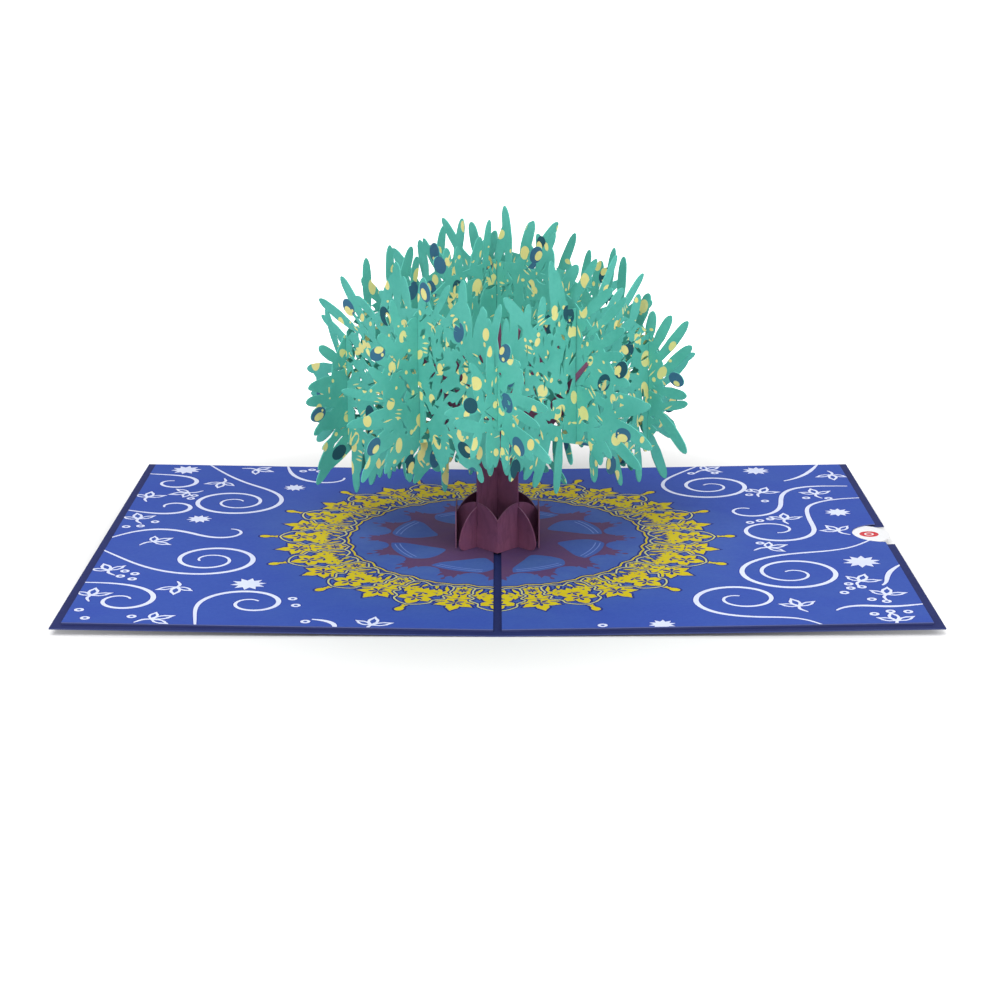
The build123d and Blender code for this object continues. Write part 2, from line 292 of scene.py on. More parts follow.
def winding(
    start: Point, degrees: float, bends: Sequence[Point], step: float = 1.1
) -> list[Point]:
    """Path whose curvature changes evenly along each bend, as in a drawn scroll.

    Args:
        start: where it starts.
        degrees: its first heading.
        bends: length of each bend and the radius that it ends on, positive to the left and 0
            for straight.
        step: length of each part.

    Returns:
        The path.
    """
    path = [start]
    heading = radians(degrees)
    curvature = 0.0
    for length, radius in bends:
        target = 1 / radius if radius else 0.0
        parts = max(int(length / step), 1)
        begin = curvature
        for part in range(parts):
            curvature = begin + (target - begin) * (part + 0.5) / parts
            heading += curvature * length / parts
            path.append(turned(path[-1], heading, length / parts, 0))
        curvature = target
    return path


class MotifBench:
    """Shapes each flat motif once, from a circle worked in edit mode."""

    def __init__(self) -> None:
        """Start with an empty bench."""
        self.blank: bpy.types.Object | None = None

    def start(self, corners: int) -> None:
        """Lay down a circle one unit across, with its first corner at the right.

        Args:
            corners: how many corners it has.
        """
        bpy.ops.object.select_all(action="DESELECT")
        bpy.ops.mesh.primitive_circle_add(vertices=corners, radius=0.5)
        self.blank = bpy.context.active_object
        bpy.ops.object.mode_set(mode="EDIT")
        bpy.ops.mesh.select_mode(type="VERT")

    def work(
        self,
        picked: Callable[[Vector], bool],
        grow: Sequence[float] = (1.0, 1.0, 1.0),
        move: Sequence[float] = (0.0, 0.0, 0.0),
    ) -> None:
        """Scale and move the corners that are picked.

        Args:
            picked: tells from its place whether a corner is picked.
            grow: scale on each axis, about the middle.
            move: how far the corners move.
        """
        cage = bmesh.from_edit_mesh(self.blank.data)
        for corner in cage.verts:
            corner.select = picked(corner.co)
        bmesh.update_edit_mesh(self.blank.data)
        bpy.ops.transform.resize(value=grow, center_override=(0.0, 0.0, 0.0))
        bpy.ops.transform.translate(value=move)

    def take(self) -> Outline:
        """Take the shaped outline off the bench."""
        bpy.ops.object.mode_set(mode="OBJECT")
        outline = [(corner.co.x, corner.co.y) for corner in self.blank.data.vertices]
        mesh = self.blank.data
        bpy.data.objects.remove(self.blank)
        bpy.data.meshes.remove(mesh)
        return outline if signed_area(outline) > 0 else outline[::-1]


@dataclass(frozen=True)
class Motifs:
    """The flat motifs that the prints and the leaf sheets repeat, each one unit long."""

    leaf: Outline
    petal: Outline
    drop: Outline
    star: Outline

    @classmethod
    def modelled(cls, bench: MotifBench) -> "Motifs":
        """Model every motif.

        Args:
            bench: the bench that they are shaped on.

        Returns:
            The motifs.
        """
        bench.start(22)
        bench.work(lambda place: True, move=(0.5, 0, 0))
        bench.work(lambda place: place.x < 0.36, grow=(1, 0.86, 1))
        bench.work(lambda place: place.x < 0.2, grow=(1, 0.78, 1))
        bench.work(lambda place: place.x < 0.08, grow=(1, 0.8, 1))
        bench.work(lambda place: place.x > 0.7, grow=(1, 1.06, 1))
        bench.work(lambda place: place.x > 0.86, grow=(1, 1.1, 1))
        leaf = bench.take()
        bench.start(16)
        bench.work(lambda place: True, move=(0.5, 0, 0))
        bench.work(lambda place: place.x < 0.25, grow=(1, 0.6, 1))
        bench.work(lambda place: place.x > 0.75, grow=(1, 0.66, 1))
        bench.work(lambda place: place.x > 0.97, move=(0.08, 0, 0))
        petal = bench.take()
        bench.start(16)
        bench.work(lambda place: True, move=(0.5, 0, 0))
        bench.work(lambda place: place.x < 0.45, grow=(1, 0.7, 1))
        bench.work(lambda place: place.x < 0.2, grow=(1, 0.55, 1))
        drop = bench.take()
        bench.start(20)
        inner = {round(atan2(y, x), 3) for x, y in disc((0, 0), 1, 10, FULL_TURN / 20)}
        bench.work(lambda place: round(atan2(place.y, place.x), 3) in inner, grow=(0.6, 0.6, 1))
        star = bench.take()
        return cls(leaf, petal, drop, star)


def laid(
    motif: Outline, base: Point, heading: float, length: float, width: float, bow: float = 0.0
) -> Outline:
    """A motif laid on a drawing.

    Args:
        motif: its outline, one unit long.
        base: where it starts.
        heading: which way it points.
        length: its length.
        width: its width.
        bow: how far its tip is bent aside, as a share of its length.

    Returns:
        The outline on the drawing.
    """
    return [turned(base, heading, x * length, y * width + bow * length * x * x) for x, y in motif]


class Drawing:
    """Flat sheet as it is cut and printed: shapes laid over one another, in millimetres."""

    PAPER = 0
    CUT = -1
    NOTHING = -2

    def __init__(self) -> None:
        """Start with no sheet."""
        self.shapes: list[tuple[Outline, int, bool]] = []

    def _lay(self, outline: Outline, ink: int, is_sheet: bool) -> None:
        """Lay one shape, turned anticlockwise."""
        self.shapes.append((outline if signed_area(outline) > 0 else outline[::-1], ink, is_sheet))

    def sheet(self, outline: Outline) -> None:
        """Add bare paper."""
        self._lay(outline, self.PAPER, True)

    def ink(self, outline: Outline, ink: int) -> None:
        """Print on the paper that is there."""
        self._lay(outline, ink, False)

    def cut(self, outline: Outline) -> None:
        """Cut a shape out of the paper."""
        self._lay(outline, self.CUT, False)

    def _ink_of(self, layers: Iterable[int]) -> int:
        """What is on top where the given shapes lie, in their order.

        Args:
            layers: numbers of the shapes that cover a spot.

        Returns:
            The ink, or a negative number where there is no paper.
        """
        top = self.NOTHING
        for layer in sorted(layers):
            _, ink, is_sheet = self.shapes[layer]
            if is_sheet or (top >= self.PAPER):
                top = ink
        return top

    def cut_out(self) -> tuple[list[Vector], list[tuple[int, ...]], list[int]]:
        """Work out the cut and printed sheet.

        Returns:
            Its corners, its flat faces and the ink of each face. Scraps that hang on nothing are
            dropped.
        """
        corners: list[Vector] = []
        outlines: list[list[int]] = []
        for outline, _, _ in self.shapes:
            outlines.append(list(range(len(corners), len(corners) + len(outline))))
            corners.extend(Vector(point) for point in outline)
        found = delaunay_2d_cdt(corners, [], outlines, 1, 1e-5, True)
        places, faces, layers = found[0], found[2], found[5]
        kept = [(face, self._ink_of(under)) for face, under in zip(faces, layers) if under]
        kept = [(face, ink) for face, ink in kept if ink >= self.PAPER]
        body = self._largest_piece([face for face, _ in kept])
        kept = [pair for pair, keep in zip(kept, body) if keep]
        return places, [tuple(face) for face, _ in kept], [ink for _, ink in kept]

    @staticmethod
    def _largest_piece(faces: list[Sequence[int]]) -> list[bool]:
        """Which faces belong to the largest piece that hangs together by its edges."""
        owner = list(range(len(faces)))

        def root(face: int) -> int:
            """First face of the piece that a face belongs to."""
            while owner[face] != face:
                owner[face] = owner[owner[face]]
                face = owner[face]
            return face

        seen: dict[tuple[int, int], int] = {}
        for number, face in enumerate(faces):
            for first, second in zip(face, (*face[1:], face[0])):
                edge = (min(first, second), max(first, second))
                if edge in seen:
                    owner[root(number)] = root(seen[edge])
                seen[edge] = number
        roots = [root(number) for number in range(len(faces))]
        sizes: dict[int, int] = {}
        for first in roots:
            sizes[first] = sizes.get(first, 0) + 1
        largest = max(sizes, key=sizes.get)
        return [first == largest for first in roots]


def paper_piece(
    name: str,
    drawing: Drawing,
    place: Callable[[Vector], Vector],
    thickness: float,
    offset: float,
    materials: Sequence[bpy.types.Material],
    plain_back: bool,
) -> bpy.types.Object:
    """Cut a drawing out of paper of one thickness.

    Args:
        name: name of the piece.
        drawing: what is cut and printed.
        place: puts a corner of the drawing in the card's frame.
        thickness: thickness of the paper.
        offset: 1 where the paper lies in front of the drawing, -1 behind it, 0 for half and half.
        materials: paper, inks and last the cut edge, in the order of the drawing's inks.
        plain_back: whether the back has no print.

    Returns:
        The piece.
    """
    corners, faces, inks = drawing.cut_out()
    mesh = bpy.data.meshes.new(name)
    mesh.from_pydata([place(corner) for corner in corners], [], faces)
    mesh.polygons.foreach_set("material_index", inks)
    for material in materials:
        mesh.materials.append(material)
    piece = bpy.data.objects.new(name, mesh)
    bpy.context.scene.collection.objects.link(piece)
    bpy.ops.object.select_all(action="DESELECT")
    piece.select_set(True)
    bpy.context.view_layer.objects.active = piece
    bpy.ops.object.mode_set(mode="EDIT")
    bpy.ops.mesh.select_all(action="SELECT")
    bpy.ops.mesh.delete_loose(use_verts=True, use_edges=True, use_faces=False)
    bpy.ops.object.mode_set(mode="OBJECT")
    thicken = piece.modifiers.new("thickness", "SOLIDIFY")
    thicken.thickness = thickness
    thicken.offset = offset
    thicken.material_offset_rim = len(materials)
    thicken.material_offset = len(materials) if plain_back else 0
    bpy.ops.object.modifier_apply(modifier=thicken.name)
    LOG.info("%s: %d faces", name, len(piece.data.polygons))
    return piece


Number = Union["Value", float]


class Value:
    """A number in a shader, whose arithmetic adds Math nodes."""

    def __init__(self, graph: "Graph", socket: bpy.types.NodeSocket) -> None:
        """Wrap a socket of a graph."""
        self.graph = graph
        self.socket = socket

    def _math(self, operation: str, *terms: Number) -> "Value":
        """Add one Math node on the given terms."""
        made = self.graph.node("ShaderNodeMath", {"operation": operation}, dict(enumerate(terms)))
        return Value(self.graph, made.outputs[0])

    def __add__(self, other: Number) -> "Value":
        """Sum."""
        return self._math("ADD", self, other)

    __radd__ = __add__

    def __sub__(self, other: Number) -> "Value":
        """Difference."""
        return self._math("SUBTRACT", self, other)

    def __mul__(self, other: Number) -> "Value":
        """Product."""
        return self._math("MULTIPLY", self, other)

    __rmul__ = __mul__

    def __pow__(self, other: Number) -> "Value":
        """Power."""
        return self._math("POWER", self, other)

    def size(self) -> "Value":
        """Size without its sign."""
        return self._math("ABSOLUTE", self)

    def larger(self, other: Number) -> "Value":
        """The larger of two numbers."""
        return self._math("MAXIMUM", self, other)

    def above(self, limit: Number) -> "Value":
        """1 above a limit and 0 under it."""
        return self._math("GREATER_THAN", self, limit)

    def step(self, low: float, high: float) -> "Value":
        """Rise smoothly from 0 to 1.

        Args:
            low: number where it is 0, which may be the larger one.
            high: number where it is 1.

        Returns:
            The risen value.
        """
        rising = {1: low, 2: high, 3: 0.0, 4: 1.0}
        ends = rising if low < high else {1: high, 2: low, 3: 1.0, 4: 0.0}
        settings = {"interpolation_type": "SMOOTHSTEP"}
        made = self.graph.node("ShaderNodeMapRange", settings, {0: self, **ends})
        return Value(self.graph, made.outputs[0])


SocketInput = Union[Value, bpy.types.NodeSocket, float, Sequence[float]]


class Graph:
    """The nodes of one material or of the world, and the few patterns that the finishes share."""

    on_face = 0.85
    on_edge = 0.7

    def __init__(self, name: str, tree: bpy.types.NodeTree | None = None) -> None:
        """Start an empty material, or clear the given nodes.

        Args:
            name: name of the material.
            tree: the world's nodes, where no material is meant.
        """
        self.material = None if tree else bpy.data.materials.new(name)
        if self.material:
            self.material.use_nodes = True
        self.tree = tree or self.material.node_tree
        self.tree.nodes.clear()

    def node(
        self,
        kind: str,
        settings: dict[str, object] | None = None,
        sockets: dict[Union[str, int], SocketInput] | None = None,
    ) -> bpy.types.Node:
        """Add a node.

        Args:
            kind: type of the node.
            settings: its own settings, set first.
            sockets: values or links of its inputs, by name or number.

        Returns:
            The new node.
        """
        made = self.tree.nodes.new(kind)
        for name, setting in (settings or {}).items():
            setattr(made, name, setting)
        for name, given in (sockets or {}).items():
            source = given.socket if isinstance(given, Value) else given
            if isinstance(source, bpy.types.NodeSocket):
                self.tree.links.new(source, made.inputs[name])
            else:
                made.inputs[name].default_value = source
        return made

    def position(self) -> bpy.types.NodeSocket:
        """Place on the piece, in metres."""
        return self.node("ShaderNodeTexCoord").outputs["Object"]

    def dot(self, vector: bpy.types.NodeSocket, direction: Sequence[float]) -> Value:
        """Length of a vector along a fixed direction."""
        terms = {0: vector, 1: tuple(direction)}
        made = self.node("ShaderNodeVectorMath", {"operation": "DOT_PRODUCT"}, terms)
        return Value(self, made.outputs["Value"])

    def reach(self, position: bpy.types.NodeSocket) -> Value:
        """Distance from the upright axis through the middle of the card."""
        flat = self.flat(self.dot(position, (1, 0, 0)), self.dot(position, (0, 1, 0)))
        made = self.node("ShaderNodeVectorMath", {"operation": "LENGTH"}, {0: flat})
        return Value(self, made.outputs["Value"])

    def true_normal(self) -> bpy.types.NodeSocket:
        """Direction square to the real face."""
        return self.node("ShaderNodeNewGeometry").outputs["True Normal"]

    def rays(self, *kinds: str) -> Value:
        """1 for rays of the given kinds and 0 for others.

        Args:
            kinds: the kinds, named as the light path names them.

        Returns:
            The mask.
        """
        path = self.node("ShaderNodeLightPath").outputs
        seen = Value(self, path[kinds[0]])
        for kind in kinds[1:]:
            seen = seen.larger(Value(self, path[kind]))
        return seen

    def noise(
        self, vector: SocketInput, scale: float, detail: float = 2.0, warp: float = 0.0
    ) -> Value:
        """Smooth noise between about 0.3 and 0.7.

        Args:
            vector: where to read it.
            scale: waves for each metre.
            detail: how many finer octaves it has.
            warp: how far it is pulled out of shape.

        Returns:
            The noise as a number.
        """
        sockets = {"Vector": vector, "Scale": scale, "Detail": detail, "Distortion": warp}
        made = self.node("ShaderNodeTexNoise", None, {**sockets, "Roughness": 0.6})
        return Value(self, made.outputs["Fac"])

    def mix(self, factor: Number, first: SocketInput, second: SocketInput) -> bpy.types.NodeSocket:
        """Colour between two colours.

        Args:
            factor: share of the second colour.
            first: colour at 0.
            second: colour at 1.

        Returns:
            The mixed colour's socket.
        """
        low, high = (
            (*colour, 1.0) if isinstance(colour, tuple) and len(colour) == 3 else colour
            for colour in (first, second)
        )
        made = self.node("ShaderNodeMix", {"data_type": "RGBA"}, {0: factor, 6: low, 7: high})
        return made.outputs[2]

    def flat(self, across: Number, up: Number) -> bpy.types.NodeSocket:
        """Flat place on a sheet as a vector."""
        return self.node("ShaderNodeCombineXYZ", None, {0: across, 1: up}).outputs[0]

    def edge_mask(self, facings: Iterable[Sequence[float]]) -> Value:
        """1 on the cut edges of a sheet and 0 on its faces.

        Args:
            facings: directions square to the sheet's faces.

        Returns:
            The mask.
        """
        normal = self.true_normal()
        first, *others = (self.dot(normal, facing).size() for facing in facings)
        for side in others:
            first = side.larger(first)
        return first.step(self.on_face, self.on_edge)

    def surface(
        self,
        colour: SocketInput,
        roughness: Number,
        height: Number,
        bump: float,
        specular: float,
    ) -> bpy.types.Material:
        """Join colour, roughness and relief into the finished material.

        Args:
            colour: base colour.
            roughness: roughness.
            height: relief.
            bump: depth of the relief in metres.
            specular: level of the plain reflection.

        Returns:
            The material.
        """
        sockets = {"Height": height, "Distance": bump, "Strength": 1.0}
        relief = self.node("ShaderNodeBump", None, sockets)
        shader = self.node(
            "ShaderNodeBsdfPrincipled",
            None,
            {
                "Base Color": colour,
                "Roughness": roughness,
                "Normal": relief.outputs[0],
                "Specular IOR Level": specular,
            },
        )
        self.node("ShaderNodeOutputMaterial", None, {"Surface": shader.outputs[0]})
        return self.material


@dataclass(frozen=True)
class Paper:
    """Plain card stock, matt, with a fine fibre grain and a paler cut edge."""

    name: str
    colour: Colour
    shade: Colour
    core: Colour
    facings: tuple[Sequence[float], ...] = UPRIGHT
    core_share: float = 0.7
    fibre_scale: float = 900.0
    grain_share: float = 0.12
    cloud_scale: float = 60.0
    cloud_share: float = 0.5
    roughness: float = 0.82
    roughness_spread: float = 0.2
    specular: float = 0.14
    relief: float = 0.02 * MM

    def print_on(self, graph: Graph, position: bpy.types.NodeSocket) -> SocketInput:
        """Colour of the face: soft clouds of a darker shade.

        Args:
            graph: the material's graph.
            position: place on the piece.

        Returns:
            The colour.
        """
        cloud = graph.noise(position, self.cloud_scale, 4.0).step(0.35, 0.7)
        return graph.mix(cloud * self.cloud_share, self.colour, self.shade)

    def make(self) -> bpy.types.Material:
        """Build the material."""
        graph = Graph(self.name)
        position = graph.position()
        fibres = graph.noise(position, self.fibre_scale, 5.0, 0.4)
        face = self.print_on(graph, position)
        grain = fibres.step(0.35, 0.65)
        face = graph.mix(grain * self.grain_share, face, self.shade)
        edge = graph.edge_mask(self.facings)
        colour = graph.mix(edge * self.core_share, face, self.core)
        roughness = self.roughness + (fibres - 0.5) * self.roughness_spread
        return graph.surface(colour, roughness, fibres, self.relief, self.specular)


NAVY = Paper("navy_card", linear(36, 44, 95), linear(30, 36, 82), linear(70, 80, 130))
TAPE = Paper("tape", linear(50, 56, 104), linear(42, 48, 94), linear(60, 66, 112))


@dataclass(frozen=True)
class NotePaper(Paper):
    """White note paper with a small red ring and dot printed on the pull tab."""

    mark: Colour = linear(200, 18, 36)
    mark_place: Point = (120.4 * MM, 1.0 * MM)
    ring_radius: float = 2.3 * MM
    ring_half_width: float = 0.72 * MM
    dot_radius: float = 0.95 * MM
    softness: float = 0.12 * MM

    def print_on(self, graph: Graph, position: bpy.types.NodeSocket) -> SocketInput:
        """Colour of the note: soft white, and the red mark on the upper face."""
        across = graph.dot(position, (1, 0, 0)) - self.mark_place[0]
        along = graph.dot(position, (0, 1, 0)) - self.mark_place[1]
        away = (across * across + along * along) ** 0.5
        off_ring = (away - self.ring_radius).size()
        ring = off_ring.step(self.ring_half_width + self.softness, self.ring_half_width)
        dot = away.step(self.dot_radius + self.softness, self.dot_radius)
        upper = graph.dot(graph.true_normal(), (0, 0, 1)).above(0.5)
        return graph.mix(ring.larger(dot) * upper, super().print_on(graph, position), self.mark)


NOTE = NotePaper("note_paper", linear(240, 240, 242), linear(228, 228, 232), linear(250, 250, 250))


@dataclass(frozen=True)
class PagePrint(Paper):
    """Printed page: blue with a painted, mottled wash that is lighter towards the medallion."""

    light: Colour = linear(74, 103, 166)
    deep: Colour = linear(52, 74, 166)
    glow_near: float = 40 * MM
    glow_far: float = 95 * MM
    glow_share: float = 0.75
    wash_scale: float = 22.0
    wash_share: float = 0.3
    blotch_scale: float = 75.0
    blotch_share: float = 0.4

    def print_on(self, graph: Graph, position: bpy.types.NodeSocket) -> SocketInput:
        """Colour of the wash."""
        glow = graph.reach(position).step(self.glow_far, self.glow_near)
        wash = graph.noise(position, self.wash_scale, 5.0, 0.6).step(0.3, 0.7)
        blotch = graph.noise(position, self.blotch_scale, 4.0, 0.3).step(0.35, 0.75)
        lighter = glow * self.glow_share + (wash - 0.5) * self.wash_share
        base = graph.mix(lighter, self.colour, self.light)
        return graph.mix(blotch * self.blotch_share, base, self.deep)


PAGE_CORE = linear(98, 108, 162)
BLUE_PAGE = PagePrint("printed_page", linear(56, 83, 168), linear(49, 70, 152), PAGE_CORE)


@dataclass(frozen=True)
class TrunkPrint(Paper):
    """Purple brown trunk paper with upright bark streaks."""

    streak: Colour = linear(92, 54, 80)
    warm: Colour = linear(146, 88, 116)
    streak_scale: float = 420.0
    streak_share: float = 0.35
    drawn_out: float = 0.22
    patch_scale: float = 110.0
    patch_share: float = 0.6

    def print_on(self, graph: Graph, position: bpy.types.NodeSocket) -> SocketInput:
        """Colour of the bark: streaks drawn out along the height."""
        across = graph.dot(position, (1, 0.6, 0))
        up = graph.dot(position, (0, 0, self.drawn_out))
        bark = graph.flat(across, up)
        streaks = graph.noise(bark, self.streak_scale, 4.0, 1.2).step(0.42, 0.68)
        patches = graph.noise(position, self.patch_scale, 3.0).step(0.4, 0.65)
        base = graph.mix(patches * self.patch_share, self.colour, self.warm)
        return graph.mix(streaks * self.streak_share, base, self.streak)


TEAL = linear(98, 193, 178)
TEAL_SHADE = linear(67, 165, 149)
TEAL_CORE = linear(104, 202, 186)
PURPLE = linear(134, 82, 114)
PURPLE_SHADE = linear(108, 64, 92)
PURPLE_CORE = linear(164, 118, 146)
TRUNK_PIECES = (
    "trunk_sheet_left", "trunk_sheet_right", "petal_ring_front", "petal_ring_back",
    "left_page_tab", "right_page_tab",
)

PAGE_INKS = (
    Paper("gold_ink", linear(208, 190, 34), linear(206, 176, 20), PAGE_CORE, cloud_scale=95.0),
    Paper("pale_ink", linear(200, 198, 132), linear(186, 186, 118), PAGE_CORE),
    Paper("deep_blue_ink", linear(40, 54, 128), linear(34, 46, 112), PAGE_CORE),
    Paper("plum_ink", linear(92, 64, 100), linear(82, 58, 110), PAGE_CORE, cloud_scale=80.0),
    Paper("fine_blue_ink", linear(108, 132, 200), linear(96, 120, 190), PAGE_CORE),
    Paper("scroll_ink", linear(222, 228, 250), linear(206, 212, 240), PAGE_CORE),
    Paper("scroll_rim_ink", linear(50, 68, 158), linear(46, 62, 150), PAGE_CORE),
    Paper("page_core", PAGE_CORE, linear(88, 98, 152), PAGE_CORE),
)
LEAF_FINISHES = tuple(
    Paper(name, colour, second, TEAL_CORE, ALONG_X, core_share=0.0)
    for name, colour, second in (
        ("leaf_paper", TEAL, TEAL_SHADE),
        ("cream_ink", linear(240, 234, 158), linear(226, 214, 128)),
        ("olive_ink", linear(66, 116, 146), linear(56, 100, 128)),
        ("dark_olive_ink", linear(42, 90, 104), linear(36, 78, 92)),
        ("leaf_core", TEAL_CORE, linear(104, 196, 180)),
    )
)


@dataclass(frozen=True)
class Crown:
    """Outline that the leaves of one leaf sheet stand on, in millimetres."""

    half_length: float
    bottom: float
    top: float
    droop: float
    waist: float = 52.0
    corners: int = 22
    upper_shares: Point = (1.0, 0.98)
    lower_shares: Point = (0.42, 0.75)
    spread: float = 0.35

    def edge(self, angle: float) -> Point:
        """Point of the outline at an angle round its waist: a dome above, squarer below."""
        upper = sin(angle) > 0
        across_power, height_power = self.upper_shares if upper else self.lower_shares
        height = self.top - self.waist if upper else self.waist - self.bottom
        across = copysign(abs(cos(angle)) ** across_power, cos(angle))
        upright = copysign(abs(sin(angle)) ** height_power, sin(angle))
        droop = 0 if upper else self.droop * across * upright
        return (self.half_length * across, self.waist + height * upright + droop)

    def heading(self, angle: float) -> float:
        """Direction out of the outline, spread a little to the sides along its lower edge."""
        step = pi / self.corners
        before = self.edge(angle - step)
        after = self.edge(angle + step)
        squarely = atan2(before[0] - after[0], after[1] - before[1])
        here = self.edge(angle)
        spread = atan2(here[1] - self.waist, here[0]) - squarely
        return squarely + (atan2(sin(spread), cos(spread)) * self.spread if sin(angle) < 0 else 0.0)

    def stretch(self, angle: float, part: float) -> float:
        """Length of the outline over a small part of the turn, for each radian."""
        here, near = self.edge(angle), self.edge(angle + part)
        return hypot(near[0] - here[0], near[1] - here[1]) / part

    def edge_at(self, x: float, up: int) -> float:
        """Height of the outline at a place along it, on its upper (1) or lower (-1) edge."""
        half = (self.edge(up * radians(degrees)) for degrees in range(181))
        return min(half, key=lambda point: abs(point[0] - x))[1]

    def inside_share(self, point: Point) -> float:
        """How far out a point lies, from 0 at the waist's centre to 1 on the outline."""
        angle = atan2(point[1] - self.waist, point[0])
        best = min(
            (self.edge(angle + turn) for turn in (-0.35, -0.2, 0.0, 0.2, 0.35)),
            key=lambda edge: abs(atan2(edge[1] - self.waist, edge[0]) - angle),
        )
        return hypot(point[0], point[1] - self.waist) / hypot(best[0], best[1] - self.waist)


class LeafInk(IntEnum):
    """Order of the materials on a leaf sheet."""

    PAPER = 0
    CREAM = 1
    OLIVE = 2
    DARK_OLIVE = 3
    CORE = 4


@dataclass
class LeafSheet:
    """One leaf sheet: its body, leaves, olives, gaps, print and half-lap slots, in millimetres."""

    name: str
    facing: Facing
    distance: float
    crown: Crown
    olive_count: int
    leaf_length: float = 14.0
    leaf_width: float = 4.8
    leaf_pitch: float = 5.4
    leaf_root: float = 4.0
    leaf_lengths: Point = (0.5, 1.25)
    leaf_pitches: Point = (0.7, 1.3)
    leaf_turn: float = radians(38)
    leaf_slenderness: Point = (0.58, 0.9)
    leaf_bend: float = 0.09
    olive_length: float = 6.2
    olive_width: float = 4.4
    olive_stem: float = 2.6
    olive_stem_width: float = 1.1
    slot_margin: float = 0.9
    gap_pitch: float = 4.2
    gap_lengths: Point = (3.2, 8.0)
    gap_widths: Point = (1.6, 4.0)
    three_corner_odds: float = 0.5
    sliver_pitch: float = 2.8
    sliver_lengths: Point = (1.8, 5.6)
    sliver_widths: Point = (0.6, 1.7)
    inner_leaf_pitch: float = 6.4
    inner_leaf_lengths: Point = (0.42, 0.85)
    inner_leaf_widths: Point = (2.4, 3.5)
    spot_pitch: float = 9.4
    dot_pitch: float = 5.2
    stroke_pitch: float = 7.0
    printed_olive_pitch: float = 27.0
    patch_pitch: float = 16.0
    patch_radii: Point = (1.4, 2.6)
    patch_leaf_lengths: Point = (3, 7)
    patch_leaf_widths: Point = (1.1, 2.3)
    spot_radii: Point = (1.1, 2.7)
    dot_radii: Point = (0.3, 0.85)
    stroke_lengths: Point = (1.4, 3.8)
    stroke_widths: Point = (0.35, 0.7)
    stroke_spacing: float = 1.3
    stroke_counts: tuple[int, ...] = (1, 1, 1, 2, 3)
    fringe_pitch: float = 3.6
    fringe_lengths: Point = (8.5, 15.0)
    fringe_widths: Point = (2.4, 3.4)
    fringe_bend: float = 0.1
    body_wobble: float = 0.035
    lap_clearance: float = 0.25
    strewing_tries: int = 900
    olive_tones: tuple[LeafInk, ...] = (LeafInk.OLIVE, LeafInk.OLIVE, LeafInk.DARK_OLIVE)
    light_odds: float = 0.65
    glint_odds: float = 0.4
    overrun: float = 30.0
    hanging: tuple[Triple, ...] = (
        (-12.4, 12.0, 6), (-9.0, 15.5, -14), (-5.6, 14.0, -8), (-2.9, 17.5, -2),
        (2.9, 16.0, 2), (6.0, 13.0, 20), (0.0, 15.0, 5),
    )
    standing: tuple[Triple, ...] = (
        (-11.0, 13.0, -8), (-7.6, 15.0, 6), (-4.9, 13.0, -10), (-2.9, 15.5, -2),
        (2.9, 15.0, 2), (5.6, 14.0, 18), (0.0, 14.0, -6),
    )

    @property
    def from_below(self) -> bool:
        """Whether the slots are open at the bottom."""
        return self.facing is Facing.LEFT

    @property
    def olive_squash(self) -> float:
        """Width of an olive as a share of its length."""
        return self.olive_width / self.olive_length

    def crossings(self) -> list[tuple[float, float]]:
        """Place and slot width of the three sheets that cross this one."""
        pitch = CARD.sheet_pitch / MM
        thickness = CARD.sheet_thickness / MM
        slot = thickness + CARD.slot_clearance / MM
        pair = thickness + CARD.glue_film / MM
        middle = -pair / 2 if self.from_below else pair / 2
        return [(-pitch, slot), (middle, slot + pair), (pitch, slot)]

    def meets_slot(self, points: Outline) -> bool:
        """True if an outline reaches over a slot on the side where that slot is open."""
        lap = CARD.lap_height / MM
        across, heights = [x for x, _ in points], [y for _, y in points]
        if min(heights) >= lap if self.from_below else max(heights) <= lap:
            return False
        for place, width in self.crossings():
            reach = width / 2 + self.slot_margin
            if min(across) < place + reach and max(across) > place - reach:
                return True
        return False

    def chance(self, part: str) -> random.Random:
        """Seeded chance for one part of this sheet."""
        return random.Random(f"{self.name} {part}")

    def edge_leaves(self, motifs: Motifs) -> list[Outline]:
        """Leaves that stand out all round the body, clear of the open slots."""
        chance = self.chance("leaves")
        slenderness = self.chance("slenderness")
        part = FULL_TURN / self.crown.corners
        leaves = []
        angle = 0.0
        while angle < FULL_TURN:
            stretch = self.crown.stretch(angle, part)
            heading = self.crown.heading(angle) + self.leaf_turn * chance.uniform(-1, 1)
            base = turned(self.crown.edge(angle), heading, -self.leaf_root, 0)
            length = self.leaf_root + self.leaf_length * chance.uniform(*self.leaf_lengths)
            bend = self.leaf_bend * chance.uniform(-1, 1)
            width = self.leaf_width * slenderness.uniform(*self.leaf_slenderness)
            leaf = laid(motifs.leaf, base, heading, length, width, bend)
            if not self.meets_slot(leaf):
                leaves.append(leaf)
            angle += self.leaf_pitch * chance.uniform(*self.leaf_pitches) / stretch
        return leaves

    def fringe_leaves(self, motifs: Motifs) -> list[Outline]:
        """Small leaves that fill in between the others along the lower edge."""
        chance = self.chance("fringe")
        leaves = []
        angle = -pi
        while angle < 0:
            stretch = self.crown.stretch(angle, 0.1)
            heading = self.crown.heading(angle) + self.leaf_turn * chance.uniform(-0.7, 0.7)
            base = turned(self.crown.edge(angle), heading, -self.leaf_root, 0)
            width = chance.uniform(*self.fringe_widths)
            length = chance.uniform(*self.fringe_lengths)
            bend = chance.uniform(-self.fringe_bend, self.fringe_bend)
            leaf = laid(motifs.leaf, base, heading, length, width, bend)
            if not self.meets_slot(leaf):
                leaves.append(leaf)
            angle += self.fringe_pitch * chance.uniform(0.7, 1.3) / stretch
        return leaves

